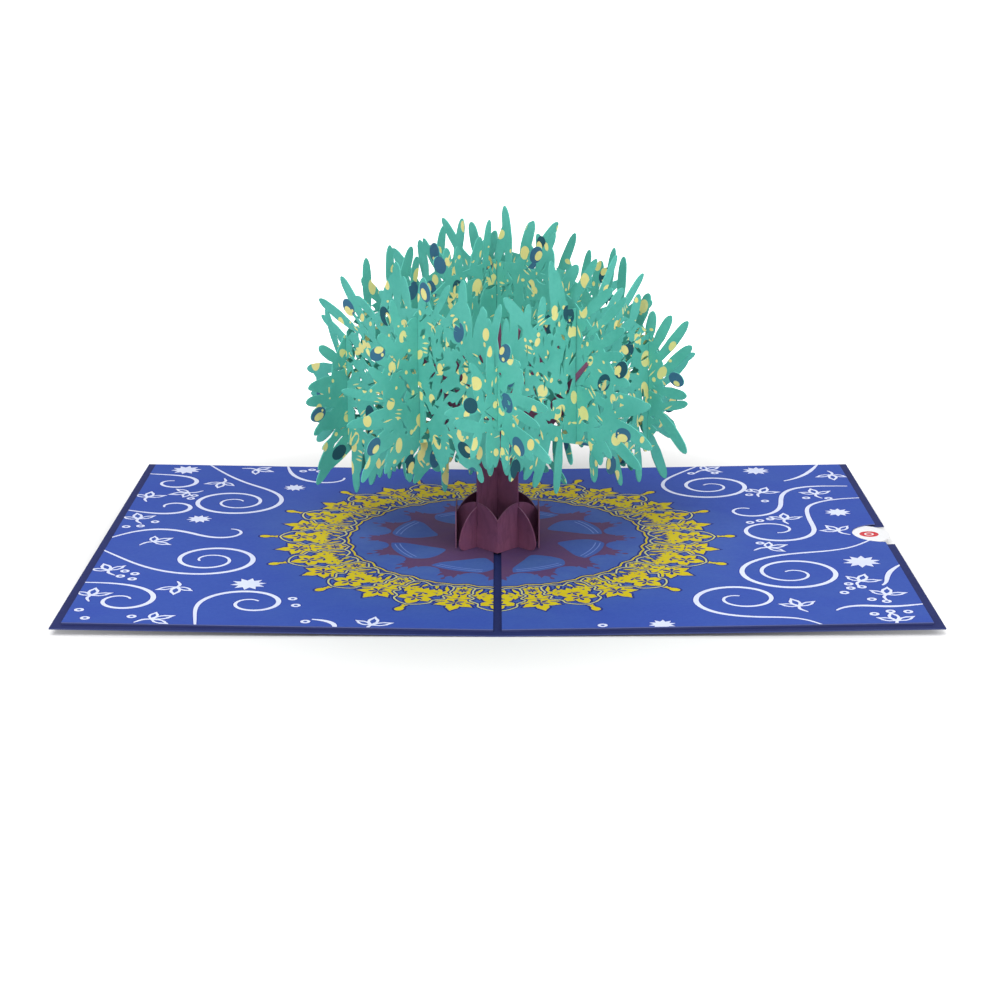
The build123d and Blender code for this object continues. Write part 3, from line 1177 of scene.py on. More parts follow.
    def edge_olives(self) -> list[tuple[Outline, Outline, Point, float]]:
        """Olives round the body: the stem, the olive, its middle and its heading."""
        chance = self.chance("olives")
        found = []
        for number in range(self.olive_count):
            angle = FULL_TURN * (number + chance.uniform(0.2, 0.8)) / self.olive_count
            heading = self.crown.heading(angle) + self.leaf_turn * chance.uniform(-1, 1)
            root = turned(self.crown.edge(angle), heading, -self.leaf_root, 0)
            stem_length = self.leaf_root + self.olive_stem
            centre = turned(root, heading, stem_length + self.olive_length / 2, 0)
            tip = turned(root, heading, stem_length + self.olive_width / 2, 0)
            stem = ribbon([root, tip], even(self.olive_stem_width * 0.8))
            olive = disc(centre, self.olive_length / 2, 22, heading, self.olive_squash)
            if not self.meets_slot(stem + olive):
                found.append((stem, olive, centre, heading))
        return found

    def body(self) -> Outline:
        """Body of the sheet, a little uneven all round."""
        chance = self.chance("body")
        points = []
        for number in range(self.crown.corners):
            x, z = self.crown.edge(FULL_TURN * number / self.crown.corners)
            swell = 1 + self.body_wobble * chance.uniform(-1, 1)
            points.append((x * swell, self.crown.waist + (z - self.crown.waist) * swell))
        return points

    def scattered(
        self, part: str, pitch: float, reach: float, off_slots: float
    ) -> list[tuple[Point, random.Random]]:
        """Places strewn over the sheet, a pitch apart.

        Args:
            part: name of what is strewn, which seeds it.
            pitch: least distance between two.
            reach: how far out they may lie, as a share of the body.
            off_slots: how far they keep from the slots.

        Returns:
            The places, each with the chance to draw its shape from.
        """
        chance = self.chance(part)
        low, high = self.crown.bottom - self.leaf_length, self.crown.top + self.leaf_length
        places: list[Point] = []
        for _ in range(self.strewing_tries):
            x = (self.crown.half_length + self.leaf_length) * chance.uniform(-1, 1)
            z = chance.uniform(low, high)
            if self.crown.inside_share((x, z)) > reach:
                continue
            if any(abs(x - place) < width / 2 + off_slots for place, width in self.crossings()):
                continue
            if all(hypot(x - other[0], z - other[1]) > pitch for other in places):
                places.append((x, z))
        return [(place, chance) for place in places]

    def outward(self, place: Point) -> float:
        """Direction away from the foot of the crown."""
        return atan2(place[1] - self.crown.bottom, place[0])

    def cut_gaps(self, drawing: Drawing) -> None:
        """Cut gaps of three or four corners between the leaves."""
        for place, chance in self.scattered("gaps", self.gap_pitch, 0.93, 2.4):
            heading = self.outward(place) + chance.gauss(0, 0.7)
            length = chance.uniform(*self.gap_lengths)
            width = chance.uniform(*self.gap_widths)
            lean = chance.uniform(-0.35, 0.35)
            tip = chance.uniform(-0.3, 0.3)
            corners = [(-0.5, 0.0), (lean, 0.5), (0.5, tip), (lean + 0.2, -0.5)]
            if chance.random() < self.three_corner_odds:
                corners.pop(3)
            outline = []
            for (x, y), (next_x, next_y) in zip(corners, corners[1:] + corners[:1]):
                outline.append(turned(place, heading, x * length, y * width))
                middle_x, middle_y = (x + next_x) / 2 * 0.8, (y + next_y) / 2 * 0.8
                outline.append(turned(place, heading, middle_x * length, middle_y * width))
            drawing.cut(outline)

    def cut_slivers(self, drawing: Drawing, motifs: Motifs) -> None:
        """Cut the narrow openings that part the leaves from each other."""
        for place, chance in self.scattered("slivers", self.sliver_pitch, 1.0, 1.3):
            heading = self.outward(place) + chance.gauss(0, 0.6)
            length = chance.uniform(*self.sliver_lengths)
            width = chance.uniform(*self.sliver_widths)
            motif = chance.choice((motifs.petal, motifs.drop, motifs.leaf))
            base = turned(place, heading, -length / 2, 0)
            drawing.cut(laid(motif, base, heading, length, width, chance.uniform(-0.2, 0.2)))

    def crossing_leaves(self, motifs: Motifs) -> list[Outline]:
        """Leaves over and under the raised end of an outer sheet, beside its last slot."""
        if not self.crown.droop:
            return []
        chance = self.chance("crossing leaves")
        way = -copysign(1, self.crown.droop)
        leaves = []
        for up, tufts in ((-1, self.hanging), (1, self.standing)):
            for outwards, length, lean in tufts:
                x = way * (CARD.sheet_pitch / MM + outwards)
                base = (x, self.crown.edge_at(x, up) - up * self.leaf_root)
                heading = up * (pi / 2 - radians(lean) * way)
                width = self.leaf_width * chance.uniform(0.6, 0.76)
                leaf = laid(motifs.leaf, base, heading, length, width, chance.uniform(-0.03, 0.03))
                if not self.meets_slot(leaf):
                    leaves.append(leaf)
        return leaves

    def inner_leaves(self, drawing: Drawing, motifs: Motifs) -> None:
        """Lay leaves over the body, so that their tips break into the gaps."""
        for place, chance in self.scattered("inner leaves", self.inner_leaf_pitch, 0.97, 1.2):
            heading = self.outward(place) + chance.gauss(0, 0.75)
            length = self.leaf_length * chance.uniform(*self.inner_leaf_lengths)
            width = chance.uniform(*self.inner_leaf_widths)
            leaf = laid(motifs.leaf, place, heading, length, width, chance.uniform(-0.12, 0.12))
            if self.crown.inside_share(leaf[0]) < 1 and not self.meets_slot(leaf):
                drawing.sheet(leaf)

    def highlight(
        self, drawing: Drawing, centre: Point, heading: float, chance: random.Random
    ) -> None:
        """Print the cream light on one side of an olive.

        Args:
            drawing: the drawing.
            centre: middle of the olive.
            heading: direction of its length.
            chance: where its draws come from.
        """
        side = chance.choice((-1, 1))
        if chance.random() < self.light_odds:
            at = turned(centre, heading, chance.uniform(-1.2, 1.2), side * chance.uniform(0.7, 1.5))
            drawing.ink(disc(at, chance.uniform(1.3, 2.3), 14, heading, 0.62), LeafInk.CREAM)
        if chance.random() < self.glint_odds:
            at = turned(centre, heading, -1.9, -side * 0.5)
            drawing.ink(disc(at, chance.uniform(0.3, 0.6), 8), LeafInk.CREAM)

    def print_patches(self, drawing: Drawing, motifs: Motifs) -> None:
        """Print cream patches that paper-coloured leaves cut into."""
        for place, chance in self.scattered("patches", self.patch_pitch, 0.9, 0.0):
            heading = chance.uniform(0, pi)
            for _ in range(2):
                at = turned(place, heading, chance.uniform(-2.4, 2.4), chance.uniform(-1.3, 1.3))
                radius = chance.uniform(*self.patch_radii)
                drawing.ink(disc(at, radius, 16, chance.uniform(0, pi), 0.7), LeafInk.CREAM)
            for _ in range(3):
                at = turned(place, heading, chance.uniform(-4.5, 0), chance.uniform(-2.4, 2.4))
                way = heading + chance.uniform(-1.1, 1.1)
                length = chance.uniform(*self.patch_leaf_lengths)
                width = chance.uniform(*self.patch_leaf_widths)
                drawing.ink(laid(motifs.leaf, at, way, length, width), LeafInk.PAPER)

    def print_spots(self, drawing: Drawing, motifs: Motifs) -> None:
        """Print cream spots, dots and groups of strokes, and olives on the leaves."""
        for place, chance in self.scattered("spots", self.spot_pitch, 1.26, 0.0):
            radius = chance.uniform(*self.spot_radii)
            heading, squash = chance.gauss(pi / 2, 0.5), chance.uniform(0.55, 0.85)
            drawing.ink(disc(place, radius, 16, heading, squash), LeafInk.CREAM)
        for place, chance in self.scattered("dots", self.dot_pitch, 1.1, 0.0):
            radius = chance.uniform(*self.dot_radii)
            heading, squash = chance.uniform(0, pi), chance.uniform(0.5, 1)
            drawing.ink(disc(place, radius, 10, heading, squash), LeafInk.CREAM)
        for place, chance in self.scattered("strokes", self.stroke_pitch, 1.05, 0.0):
            heading = chance.uniform(0, pi)
            length = chance.uniform(*self.stroke_lengths)
            for number in range(chance.choice(self.stroke_counts)):
                aside = self.stroke_spacing * number
                at = turned(place, heading, chance.uniform(-0.6, 0.6), aside)
                lean = heading + chance.gauss(0, 0.12)
                stroke = laid(motifs.petal, at, lean, length, chance.uniform(*self.stroke_widths))
                drawing.ink(stroke, LeafInk.CREAM)
        for place, chance in self.scattered("printed olives", self.printed_olive_pitch, 0.98, 2.5):
            heading = chance.gauss(pi / 2, 0.5)
            shape = disc(place, self.olive_length / 2, 20, heading, self.olive_squash)
            drawing.ink(shape, chance.choice(self.olive_tones))
            self.highlight(drawing, place, heading, chance)

    def cut_slots(self, drawing: Drawing) -> None:
        """Cut the half-lap slots, from one edge to the lap."""
        lap = CARD.lap_height / MM
        for place, width in self.crossings():
            if self.from_below:
                low, high = self.crown.bottom - self.overrun, lap + self.lap_clearance
            else:
                low, high = lap - self.lap_clearance, self.crown.top + self.overrun
            left, right = place - width / 2, place + width / 2
            drawing.cut([(left, low), (right, low), (right, high), (left, high)])

    def draw(self, motifs: Motifs) -> Drawing:
        """Draw the sheet.

        Args:
            motifs: the motifs that it repeats.

        Returns:
            The drawing.
        """
        drawing = Drawing()
        drawing.sheet(self.body())
        self.cut_gaps(drawing)
        self.inner_leaves(drawing, motifs)
        self.cut_slivers(drawing, motifs)
        for leaves in (self.edge_leaves, self.fringe_leaves, self.crossing_leaves):
            for leaf in leaves(motifs):
                drawing.sheet(leaf)
        olives = self.edge_olives()
        for stem, olive, _, _ in olives:
            drawing.sheet(stem)
            drawing.sheet(olive)
        self.print_patches(drawing, motifs)
        self.print_spots(drawing, motifs)
        chance = self.chance("olive tones")
        for _, olive, centre, heading in olives:
            drawing.ink(olive, chance.choice(self.olive_tones))
            self.highlight(drawing, centre, heading, chance)
        self.cut_slots(drawing)
        return drawing

    def build(self, motifs: Motifs, materials: Sequence[bpy.types.Material]) -> None:
        """Cut the sheet and stand it in the crown.

        Args:
            motifs: the motifs that it repeats.
            materials: paper, inks and cut edge.
        """
        out, along = self.facing.out, self.facing.along
        origin = Vector((0, CARD.tree_y, 0)) + out * self.distance * MM

        def place(corner: Vector) -> Vector:
            """Corner of the drawing on the upright sheet."""
            return origin + along * (corner.x * MM) + Vector((0, 0, corner.y * MM))

        name, thickness = f"{self.name}_leaves", CARD.sheet_thickness
        piece = paper_piece(name, self.draw(motifs), place, thickness, 0, materials, False)
        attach(piece, "card")
        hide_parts(self.name)


class PageInk(IntEnum):
    """Order of the materials on a printed page."""

    PAPER = 0
    GOLD = 1
    PALE = 2
    DEEP = 3
    PLUM = 4
    FINE = 5
    SCROLL = 6
    RIM = 7
    CORE = 8


@dataclass
class Medallion:
    """Round ornament in the middle of the card: a gold filigree ring round a plum rosette."""

    motifs: Motifs
    folds: int = 16
    spokes: int = 8
    contour: float = 0.7
    strap: float = 0.55
    strap_rim: float = 1.6
    rim_radius: float = 34.5
    lean: float = 0.7
    plum_radius: float = 38.4
    scallop_ring: float = 40.0
    scallop_radius: float = 4.5
    arc_radii: Point = (33.4, 31.9)
    arc_width: float = 0.42
    tulip: tuple[Triple, ...] = ((0, 5.4, 3.0), (40, 5.6, 2.2), (78, 3.8, 1.6))
    gold_border: tuple[Point, ...] = (
        (48.6, 0.0), (48.1, 2.4), (48.0, 4.6), (48.2, 7.0), (47.4, 9.2), (46.9, 11.25),
    )
    pale_frame: tuple[Point, ...] = (
        (70.4, 0.0), (69.2, 2.6), (66.8, 4.9), (64.2, 5.2), (61.8, 7.7),
        (59.6, 6.7), (57.4, 8.5), (55.4, 7.6), (53.0, 7.9), (50.2, 7.4),
    )
    pale_border: tuple[Point, ...] = (
        (51.6, 0.0), (50.4, 1.6), (49.4, 3.4), (49.4, 5.6), (50.2, 7.4), (49.2, 9.2), (48.3, 11.25),
    )
    cell_edge: tuple[Point, ...] = (
        (34.4, -14.5), (35.0, -8.0), (35.2, 0.0), (35.0, 8.0), (34.4, 14.5), (30.5, 17.4),
        (26.6, 15.0), (23.0, 9.6), (19.8, 0.0), (23.0, -9.0), (26.6, -14.0), (30.5, -16.4),
        (34.4, -14.5),
    )

    @property
    def turn(self) -> float:
        """Angle from one repeat to the next, in degrees."""
        return 360 / self.folds

    def spray(
        self,
        at: Point,
        heading: float,
        petals: Sequence[Triple],
        motif: Outline,
        bow: float = 0.0,
    ) -> list[Outline]:
        """Petals that spread from one point, the same on both sides.

        Args:
            at: the point.
            heading: middle direction in degrees.
            petals: angle off the middle in degrees, length and width of each.
            motif: outline of a petal.
            bow: how far the tips bend, as a share of the length.

        Returns:
            The outlines.
        """
        outlines = []
        for off, length, width in petals:
            for side in (-1, 1) if off else (1,):
                way = radians(heading + side * off)
                outlines.append(laid(motif, at, way, length, width, side * bow if off else 0.0))
        return outlines

    def burst(
        self, at: Point, heading: float, rays: int, length: float, width: float
    ) -> list[Outline]:
        """Narrow petals that stand evenly round one point.

        Args:
            at: the point.
            heading: direction of the first petal in degrees.
            rays: how many petals there are.
            length: length of a petal.
            width: width of a petal.

        Returns:
            The outlines.
        """
        turns = (radians(heading + 360 * number / rays) for number in range(rays))
        return [laid(self.motifs.drop, at, turn, length, width) for turn in turns]

    def lily(self, radius: float, degrees: float, size: float) -> list[Outline]:
        """Six-petalled flower on the ring, pointing outwards.

        Args:
            radius: where it stands.
            degrees: its angle.
            size: length of its middle petal.

        Returns:
            The outlines.
        """
        shares = ((0, 1.0, 0.55), (58, 0.86, 0.48), (122, 0.74, 0.42))
        petals = [(off, size * length, size * width) for off, length, width in shares]
        return self.spray(around(radius, degrees), degrees, petals, self.motifs.petal, 0.06)

    def repeat(self, axis: float) -> list[Outline]:
        """Gold shapes of one repeat of the ring, about an axis given in degrees."""
        leaf, petal = self.motifs.leaf, self.motifs.petal
        side = axis + self.turn / 2
        outlines = self.lily(62.2, axis, 7.6)
        if axis % 180 != 90:
            outlines += [
                ribbon([around(67.5, axis), around(73.4, axis)], even(1.0)),
                disc(around(71.2, axis), 0.95, 12),
                disc(around(72.9, axis), 0.75, 12),
                disc(around(75.1, axis), 1.8, 16, radians(axis), 0.75),
            ]
        upper = [(98, 5.4, 2.3), (146, 5.4, 2.1)]
        lower = [(0, 3.4, 1.7), (46, 4.8, 1.6), (92, 5.0, 1.7)]
        outlines += self.spray(around(59.8, axis), axis, upper, petal, 0.2)
        outlines += self.spray(around(57.6, axis), axis + 180, lower, petal, 0.2)
        outlines += self.lily(64.2, side, 7.2)
        crossed = [(0, 4.2, 2.2), (36, 6.0, 1.9), (80, 5.4, 1.7)]
        outlines += self.spray(around(61.2, side), side, [(80, 6.4, 2.0)], leaf, -0.34)
        outlines += self.spray(around(60.4, side), side + 180, crossed, petal, -0.2)
        outlines += self.burst(around(52.8, side), side, 8, 3.7, 1.7)
        tuft = [(0, 3.8, 1.7), (66, 3.2, 1.3), (132, 3.2, 1.2)]
        for way in (-1, 1):
            leaf_foot, petal_foot = around(50.4, axis + way * 5.0), around(50.2, axis + way * 1.0)
            outlines.append(laid(leaf, leaf_foot, radians(axis + way * 18), 6.4, 1.3, way * 0.24))
            outlines.append(laid(petal, petal_foot, radians(axis + way * 34), 3.8, 1.2, way * -0.2))
            outlines += self.spray(around(56.2, axis + way * 5.4), axis, tuft, petal, 0.1)
            outlines.append(self.border(self.gold_border, axis, way, 0.6))
        return outlines

    def border(self, knots: Sequence[Point], axis: float, way: int, width: float) -> Outline:
        """Line through knots given as radius and degrees off an axis, to one side of it.

        Args:
            knots: the knots.
            axis: the axis in degrees.
            way: 1 for its left side and -1 for its right.
            width: width of the line.

        Returns:
            The outline.
        """
        path = smooth([around(radius, axis + way * degrees) for radius, degrees in knots], 4)
        return ribbon(path, even(width))

    def straps(self, axis: float, width: float) -> list[Outline]:
        """The two halves of the wavy strap that frames a repeat."""
        return [
            self.border(knots, axis, way, width)
            for knots in (self.pale_frame, self.pale_border)
            for way in (-1, 1)
        ]

    def slits(self, axis: float) -> list[Outline]:
        """Blue eyes in the flowers and the star between the repeats."""
        side, drop = axis + self.turn / 2, self.motifs.drop
        found = self.burst(around(64.4, side), side, 6, 3.0, 1.15)
        found += self.burst(around(63.8, axis), axis, 5, 2.8, 1.15)
        found += self.spray(around(58.6, axis), axis, [(0, 2.6, 1.0), (64, 2.4, 1.0)], drop)
        found += self.burst(around(52.8, side), side, 8, 2.0, 0.7)
        found += self.spray(around(57.4, side), side, [(0, 2.2, 0.9), (150, 2.0, 0.8)], drop)
        return found

    def print_ring(self, drawing: Drawing) -> None:
        """Print the gold ring with its dark contour and its pale straps."""
        axes = [number * self.turn for number in range(self.folds)]
        gold = [outline for axis in axes for outline in self.repeat(axis)]
        for outline in gold:
            drawing.ink(grown(outline, self.contour), PageInk.DEEP)
        for outline in gold:
            drawing.ink(outline, PageInk.GOLD)
        for axis in axes:
            for outline in self.straps(axis, self.strap_rim):
                drawing.ink(outline, PageInk.DEEP)
            for outline in self.straps(axis, self.strap):
                drawing.ink(outline, PageInk.PALE)
            for outline in self.slits(axis):
                drawing.ink(outline, PageInk.DEEP)

    def cell(self, degrees: float) -> Outline:
        """Open cell between two spokes of the rosette, leaning round like a vane."""
        return smooth(
            [
                around(radius, degrees + way + (self.rim_radius - radius) * self.lean)
                for radius, way in self.cell_edge
            ],
            3,
        )[:-1]

    def print_rosette(self, drawing: Drawing) -> None:
        """Print the plum rosette round the foot of the tree."""
        drop, petal = self.motifs.drop, self.motifs.petal
        drawing.ink(disc((0.0, 0.0), self.plum_radius, 96), PageInk.PLUM)
        for number in range(self.folds):
            middle = around(self.scallop_ring, (number + 0.5) * self.turn)
            drawing.ink(disc(middle, self.scallop_radius, 20), PageInk.PAPER)
        gap = 360 / self.spokes
        for number in range(self.spokes):
            middle = (number + 0.5) * gap
            drawing.ink(self.cell(middle), PageInk.PAPER)
            for radius in self.arc_radii:
                arc = [around(radius, middle + degrees) for degrees in range(-12, 15, 2)]
                drawing.ink(ribbon(arc, even(self.arc_width)), PageInk.FINE)
        for number in range(self.folds):
            axis = number * self.turn
            for outline in self.spray(around(36.6, axis), axis, self.tulip, petal, -0.22):
                drawing.ink(outline, PageInk.PLUM)
            drawing.ink(laid(drop, around(42.2, axis), radians(axis), 2.6, 1.4), PageInk.PLUM)


@dataclass(frozen=True)
class Scroll:
    """One drawn scroll: where it starts, its heading in degrees, and its bends."""

    start: Point
    heading: float
    bends: tuple[Point, ...]
    width: float = 1.6


@dataclass
class PageOrnament:
    """Scrolls, stars, sprigs and berries on the outer parts of one page."""

    motifs: Motifs
    scrolls: tuple[Scroll, ...]
    stars: tuple[Triple, ...]
    sprigs: tuple[Triple, ...]
    berries: tuple[Point, ...]
    rim: float = 0.32
    star_turn: float = radians(11)
    berry_radius: float = 1.45
    berry_eye: float = 0.6
    sprig_size: float = 0.8
    sprig_leaves: tuple[Triple, ...] = ((8, 9.0, 4.2), (62, 7.6, 3.6), (-54, 8.2, 3.6))

    def sprig_shapes(
        self, x: float, y: float, heading: float
    ) -> tuple[list[Outline], list[Outline]]:
        """Outlines of a sprig.

        Args:
            x: where it stands, across the card.
            y: where it stands, along the fold.
            heading: which way it points, in degrees.

        Returns:
            What is inked, and what stays open inside its leaves.
        """
        way, size = radians(heading), self.sprig_size
        foot = turned((x, y), way, -6.5 * size, -1.6 * size)
        stalk = [foot, turned((x, y), way, -3 * size, 0.4 * size), (x, y)]
        filled = [ribbon(smooth(stalk, 4), tapered(1.0, 0.5, 0.6))]
        open_shapes = []
        base = turned((x, y), way, -0.4 * size, 0)
        for off, length, width in self.sprig_leaves:
            leaf_way = way + radians(off)
            length, width = length * size, width * size
            filled.append(laid(self.motifs.petal, base, leaf_way, length, width))
            inner = turned(base, leaf_way, length * 0.2, 0)
            open_shapes.append(laid(self.motifs.petal, inner, leaf_way, length * 0.58, width * 0.5))
        return filled, open_shapes

    def print_on(self, drawing: Drawing) -> None:
        """Print every ornament, each with a thin darker rim."""
        filled: list[Outline] = []
        open_shapes: list[Outline] = []
        for scroll in self.scrolls:
            path = winding(scroll.start, scroll.heading, scroll.bends)
            filled.append(ribbon(path, tapered(scroll.width, 0.75, 0.45)))
        for x, y, size in self.stars:
            filled.append(laid(self.motifs.star, (x, y), self.star_turn, size, size))
        for x, y, heading in self.sprigs:
            shapes = self.sprig_shapes(x, y, heading)
            filled += shapes[0]
            open_shapes += shapes[1]
        for x, y in self.berries:
            filled.append(disc((x, y), self.berry_radius, 16))
            open_shapes.append(disc((x, y), self.berry_eye, 10))
        for outline in filled:
            drawing.ink(grown(outline, self.rim), PageInk.RIM)
        for outline in filled:
            drawing.ink(outline, PageInk.SCROLL)
        for outline in open_shapes:
            drawing.ink(outline, PageInk.PAPER)


@dataclass
class PrintedPage:
    """One page of the card, cut to its outline with its slit and notch, and printed."""

    name: str
    side: int
    ornament: PageOrnament
    medallion: Medallion
    inner: float = 1.229
    outer: float = 123.98
    half_depth: float = 86.0
    thickness: float = 0.3 * MM
    slit_centre: float = 13.234
    slit_width: float = 0.5
    slit_half_length: float = 8.0
    notch_centre: float = 124.98
    has_notch: bool = False

    def draw(self) -> Drawing:
        """Draw the page in card millimetres, X to the right and Y to the back."""
        drawing = Drawing()
        low, high = sorted((self.side * self.inner, self.side * self.outer))
        front, back = -self.half_depth, self.half_depth
        drawing.sheet([(low, front), (high, front), (high, back), (low, back)])
        self.ornament.print_on(drawing)
        self.medallion.print_rosette(drawing)
        self.medallion.print_ring(drawing)
        slit, tree_y = self.side * self.slit_centre, CARD.tree_y / MM
        left, right = slit - self.slit_width / 2, slit + self.slit_width / 2
        front, back = tree_y - self.slit_half_length, tree_y + self.slit_half_length
        drawing.cut([(left, front), (right, front), (right, back), (left, back)])
        if self.has_notch:
            notch = (self.side * self.notch_centre, CARD.notch_y / MM)
            drawing.cut(disc(notch, CARD.notch_radius / MM, 72))
        return drawing

    def build(self, materials: Sequence[bpy.types.Material]) -> None:
        """Cut the page and lay it on its half of the card.

        Args:
            materials: paper, inks and cut edge.
        """
        def place(corner: Vector) -> Vector:
            """Corner of the drawing on the top face of the page."""
            return Vector((corner.x * MM, corner.y * MM, CARD.page_height(corner.x * MM)))

        name = f"{self.name}_printed"
        piece = paper_piece(name, self.draw(), place, self.thickness, -1, materials, True)
        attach(piece, "card")
        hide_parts(self.name)


LEFT_SCROLLS = (
    Scroll((-124.0, -4.0), 52.0, ((6, -30), (12, -11), (12, -60), (10, 8), (9, 5), (6, 3.5))),
    Scroll((-104.0, 86.0), -60.0, ((30, 60), (18, -18), (42, -13), (42, -9.5), (24, -5), (8, -3))),
    Scroll((-124.0, 73.0), -8.0, ((6, 0), (12, -8), (18, -6), (11, -3))),
    Scroll((-124.0, 27.0), -22.0, ((6, 60), (14, 7), (12, 5.2), (8, 3))),
    Scroll((-124.0, -18.0), -48.0, ((8, 0), (24, 26), (28, 13), (40, 10.5), (30, 6), (12, 3.5))),
    Scroll((-124.0, -50.0), 0.0, ((8, -30), (24, -10), (24, -5.2), (8, -3))),
    Scroll((-86.0, -86.0), 98.0, ((8, 0), (12, -16), (30, -9.5), (24, -5), (8, -3))),
    Scroll((-76.0, 86.0), -80.0, ((8, 40), (16, 12), (14, 5))),
    Scroll((-53.0, -80.0), -10.0, ((5, -6), (8, -5))),
)
RIGHT_SCROLLS = (
    Scroll(
        (124.0, 42.0), 186.0,
        ((9, 24), (14, 12), (6, 60), (14, 0), (12, -12), (28, -10), (20, -6.4), (10, -3.6)),
    ),
    Scroll((72.0, 86.0), -128.0, ((10, 0), (16, 17), (44, 12.8), (40, 8.5), (20, 4.6), (6, 3))),
    Scroll((116.0, 86.0), -112.0, ((14, -40), (12, -18))),
    Scroll((122.0, 57.0), 176.0, ((4, 0), (16, 11), (14, 60), (16, -14), (18, -5), (8, -3))),
    Scroll(
        (119.0, -7.0), 230.0,
        ((12, -18), (16.5, 60), (24, 15.5), (46, 13.4), (44, 9.5), (20, 4.6), (6, 3)),
    ),
    Scroll((92.0, -86.0), 128.0, ((7, 10), (11, -60), (16, -14), (34, -11), (30, -6.5), (10, -3))),
    Scroll((124.0, -70.0), 194.0, ((5, -60), (6, -14), (7, 14), (9, 7))),
    Scroll((124.0, -33.0), 234.0, ((8, 22), (7, 60), (6, -7))),
)
LEFT_STARS = ((-112, 79, 11.0), (-71, 58, 8.0), (-99, 18, 8.5), (-75, -49, 11.0))
RIGHT_STARS = ((93, 79, 10.0), (114, 25, 9.0), (113, -29, 12.0), (47, -84, 8.0))
LEFT_SPRIGS = (
    (-87, 81, 330), (-97, 63, 255), (-107, 49.5, 195), (-120, 43, 80), (-119, 17, 95),
    (-110, -8, 30), (-119, -38, 105), (-96, -53, 262), (-120, -62, 80), (-99, -82, 20),
    (-36, -84, 75),
)
RIGHT_SPRIGS = (
    (119, 72, 262), (75, 81, 30), (110, 47.5, 90), (95.5, 18, 80), (111, 4, 110), (86, -13, 15),
    (109.5, -48, 62), (88, -70, 95), (115, -61, 70), (114, -84, 88), (91.5, 50.5, 60),
)
LEFT_BERRIES = (
    (-67, 82), (-64, 80), (-70, 80), (-104.5, 46), (-105.2, 42.3), (-113, 14), (-117, 9),
    (-121.5, 8), (-114, -38.5), (-114.5, -43.5), (-110.5, -41), (-110.5, -46), (-60.5, -62),
    (-59, -68), (-55, -82), (-121, -75), (-118, -82), (-105, -80),
)
RIGHT_BERRIES = (
    (87.5, 53), (87, 48), (91.5, 40), (106, 43), (113.5, 42), (83.5, 15), (87, 16.8),
    (90.6, 18.6), (84, -8), (105.5, -50.5), (105.5, -54.5), (109, -53.5), (103, -58.5),
    (110, -65), (114, -67), (108.5, -78), (113.5, -76), (118.5, -76.5), (30, -84), (69.5, 77),
    (78, 77),
)


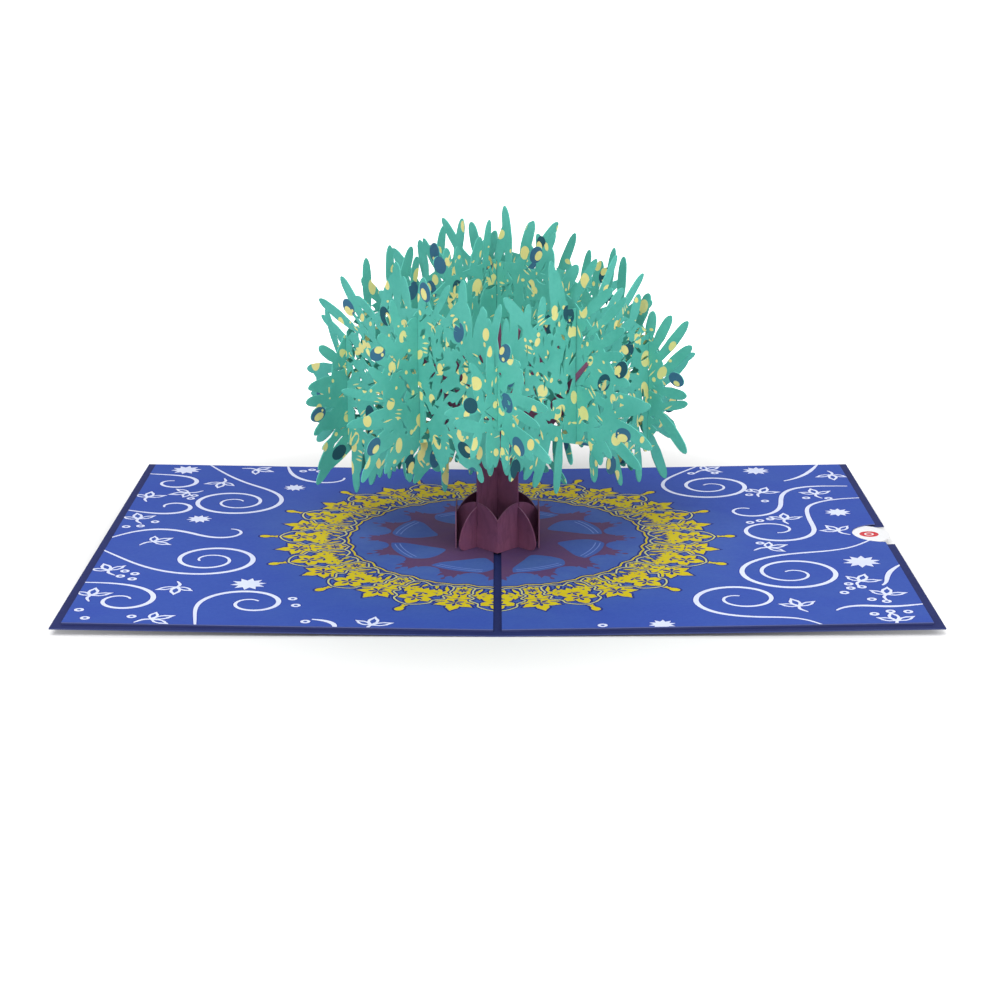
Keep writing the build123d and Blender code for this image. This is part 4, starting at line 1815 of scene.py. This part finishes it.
@dataclass
class Studio:
    """Floor, backdrop, lamps and the camera at the photograph's place."""

    image_width_px: float = 1000.0
    focal_px: float = 2094.0
    centre_x_px: float = 497.5
    pitch: float = radians(16.1)
    camera_y: float = -648.0 * MM
    camera_z: float = 201.7 * MM
    sensor_mm: float = 36.0
    floor_half: float = 4.0
    floor_gap: float = 0.02 * MM
    floor_colour: tuple[float, ...] = (0.8, 0.8, 0.8, 1.0)
    floor_glow: float = 0.04
    light_all_round: float = 0.29
    showing_rays: tuple[str, ...] = ("Is Camera Ray", "Is Transmission Ray", "Is Glossy Ray")
    lamp_aim: Triple = (0.0, 0.0, 0.04)
    shadow_near: float = 0.09
    shadow_far: float = 0.27

    def camera(self) -> None:
        """Set up the camera that the photograph was taken with."""
        data = bpy.data.cameras.new("camera")
        data.sensor_width = self.sensor_mm
        data.lens = self.focal_px * self.sensor_mm / self.image_width_px
        data.shift_x = (self.image_width_px / 2 - self.centre_x_px) / self.image_width_px
        data.clip_start = 0.01
        camera = bpy.data.objects.new("camera", data)
        camera.location = (0, self.camera_y, self.camera_z)
        camera.rotation_euler = (pi / 2 - self.pitch, 0, 0)
        bpy.context.scene.collection.objects.link(camera)
        bpy.context.scene.camera = camera

    def lamp(self, name: str, place: Sequence[float], size: float, power: float) -> None:
        """Hang one soft square lamp, turned to the card.

        Args:
            name: name of the lamp.
            place: where it hangs.
            size: side of its square.
            power: power in watts.
        """
        data = bpy.data.lights.new(name, "AREA")
        data.shape = "SQUARE"
        data.size = size
        data.energy = power
        lamp = bpy.data.objects.new(name, data)
        lamp.location = place
        aim = Vector(self.lamp_aim) - Vector(place)
        lamp.rotation_euler = aim.to_track_quat("-Z", "Y").to_euler()
        bpy.context.scene.collection.objects.link(lamp)

    def world(self) -> None:
        """Light all round, plain white where the camera, glass or gloss sees it."""
        world = bpy.data.worlds.new("studio")
        bpy.context.scene.world = world
        world.use_nodes = True
        graph = Graph("studio", world.node_tree)
        seen = graph.rays(*self.showing_rays)
        lights = [
            graph.node("ShaderNodeBackground", None, {"Color": WHITE, "Strength": strength})
            for strength in (self.light_all_round, 1.0)
        ]
        dim, white = (light.outputs[0] for light in lights)
        mixed = graph.node("ShaderNodeMixShader", None, {0: seen, 1: dim, 2: white})
        graph.node("ShaderNodeOutputWorld", None, {"Surface": mixed.outputs[0]})

    def floor(self) -> None:
        """Lay a plain pale floor with the card's shadow, painted shade near the card, white farther
        off.
        """
        bpy.ops.mesh.primitive_plane_add(size=2 * self.floor_half, location=(0, 0, -self.floor_gap))
        floor = bpy.context.active_object
        floor.name = "floor"
        graph = Graph("pale_floor")
        # Painted shade: the camera glow grows from shadow_near to shadow_far away from the card's
        # middle, so the floor near the card stays darker than the white beyond it.
        white = graph.reach(graph.position()).step(self.shadow_near, self.shadow_far)
        matt = graph.node("ShaderNodeBsdfDiffuse", None, {"Color": self.floor_colour})
        lit = graph.mix(graph.rays(*self.showing_rays) * (self.floor_glow + white), BLACK, WHITE)
        glow = graph.node("ShaderNodeEmission", None, {"Color": lit, "Strength": 1.0})
        both = graph.node("ShaderNodeAddShader", None, {0: matt.outputs[0], 1: glow.outputs[0]})
        graph.node("ShaderNodeOutputMaterial", None, {"Surface": both.outputs[0]})
        floor.data.materials.append(graph.material)

    def build(self) -> None:
        """Build the whole studio."""
        bpy.context.scene.view_settings.view_transform = "Standard"
        self.camera()
        self.world()
        self.floor()
        self.lamp("key", (-0.28, -1.0, 1.2), 0.9, 18.5)
        self.lamp("fill", (0.9, -0.8, 0.8), 0.9, 6.5)
        self.lamp("back", (0.2, 1.0, 1.2), 1.0, 6.5)


def paint(node: str, material: bpy.types.Material) -> None:
    """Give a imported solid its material."""
    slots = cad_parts[node].data.materials
    slots.clear()
    slots.append(material)


def main() -> None:
    """Build the pieces in order."""
    logging.basicConfig(level=logging.INFO)
    Studio().build()
    motifs = Motifs.modelled(MotifBench())
    medallion = Medallion(motifs)
    page_finishes = [BLUE_PAGE.make()] + [ink.make() for ink in PAGE_INKS]
    left = PageOrnament(motifs, LEFT_SCROLLS, LEFT_STARS, LEFT_SPRIGS, LEFT_BERRIES)
    right = PageOrnament(motifs, RIGHT_SCROLLS, RIGHT_STARS, RIGHT_SPRIGS, RIGHT_BERRIES)
    PrintedPage("left_page", -1, left, medallion).build(page_finishes)
    PrintedPage("right_page", 1, right, medallion, has_notch=True).build(page_finishes)
    paint("cover", NAVY.make())
    paint("note_card", NOTE.make())
    tape = TAPE.make()
    paint("left_page_tape", tape)
    paint("pocket_tape", tape)
    faces = (Facing.LEFT.out, Facing.RIGHT.out, (1, 0, 0))
    trunk = TrunkPrint("trunk_paper", PURPLE, PURPLE_SHADE, PURPLE_CORE, faces).make()
    for name in TRUNK_PIECES:
        paint(name, trunk)
    leaf_finishes = [finish.make() for finish in LEAF_FINISHES]
    pitch = CARD.sheet_pitch / MM
    pair = (CARD.sheet_thickness + CARD.glue_film) / MM
    centre = Crown(half_length=49.5, bottom=39.5, top=93.5, droop=0.0)
    to_right = Crown(half_length=40.5, bottom=40.0, top=82.5, droop=11.5)
    to_left = Crown(half_length=40.5, bottom=40.0, top=82.5, droop=-11.5)
    for sheet in (
        LeafSheet("canopy_front_left", Facing.LEFT, pitch, to_left, 7),
        LeafSheet("canopy_front_right", Facing.RIGHT, pitch, to_right, 7),
        LeafSheet("canopy_centre_left", Facing.LEFT, -pair, centre, 8),
        LeafSheet("canopy_centre_right", Facing.RIGHT, -pair, centre, 8),
        LeafSheet("canopy_back_left", Facing.RIGHT, -pitch, to_left, 7),
        LeafSheet("canopy_back_right", Facing.LEFT, -pitch, to_right, 7),
    ):
        sheet.build(motifs, leaf_finishes)


if __name__ == "__main__":
    main()
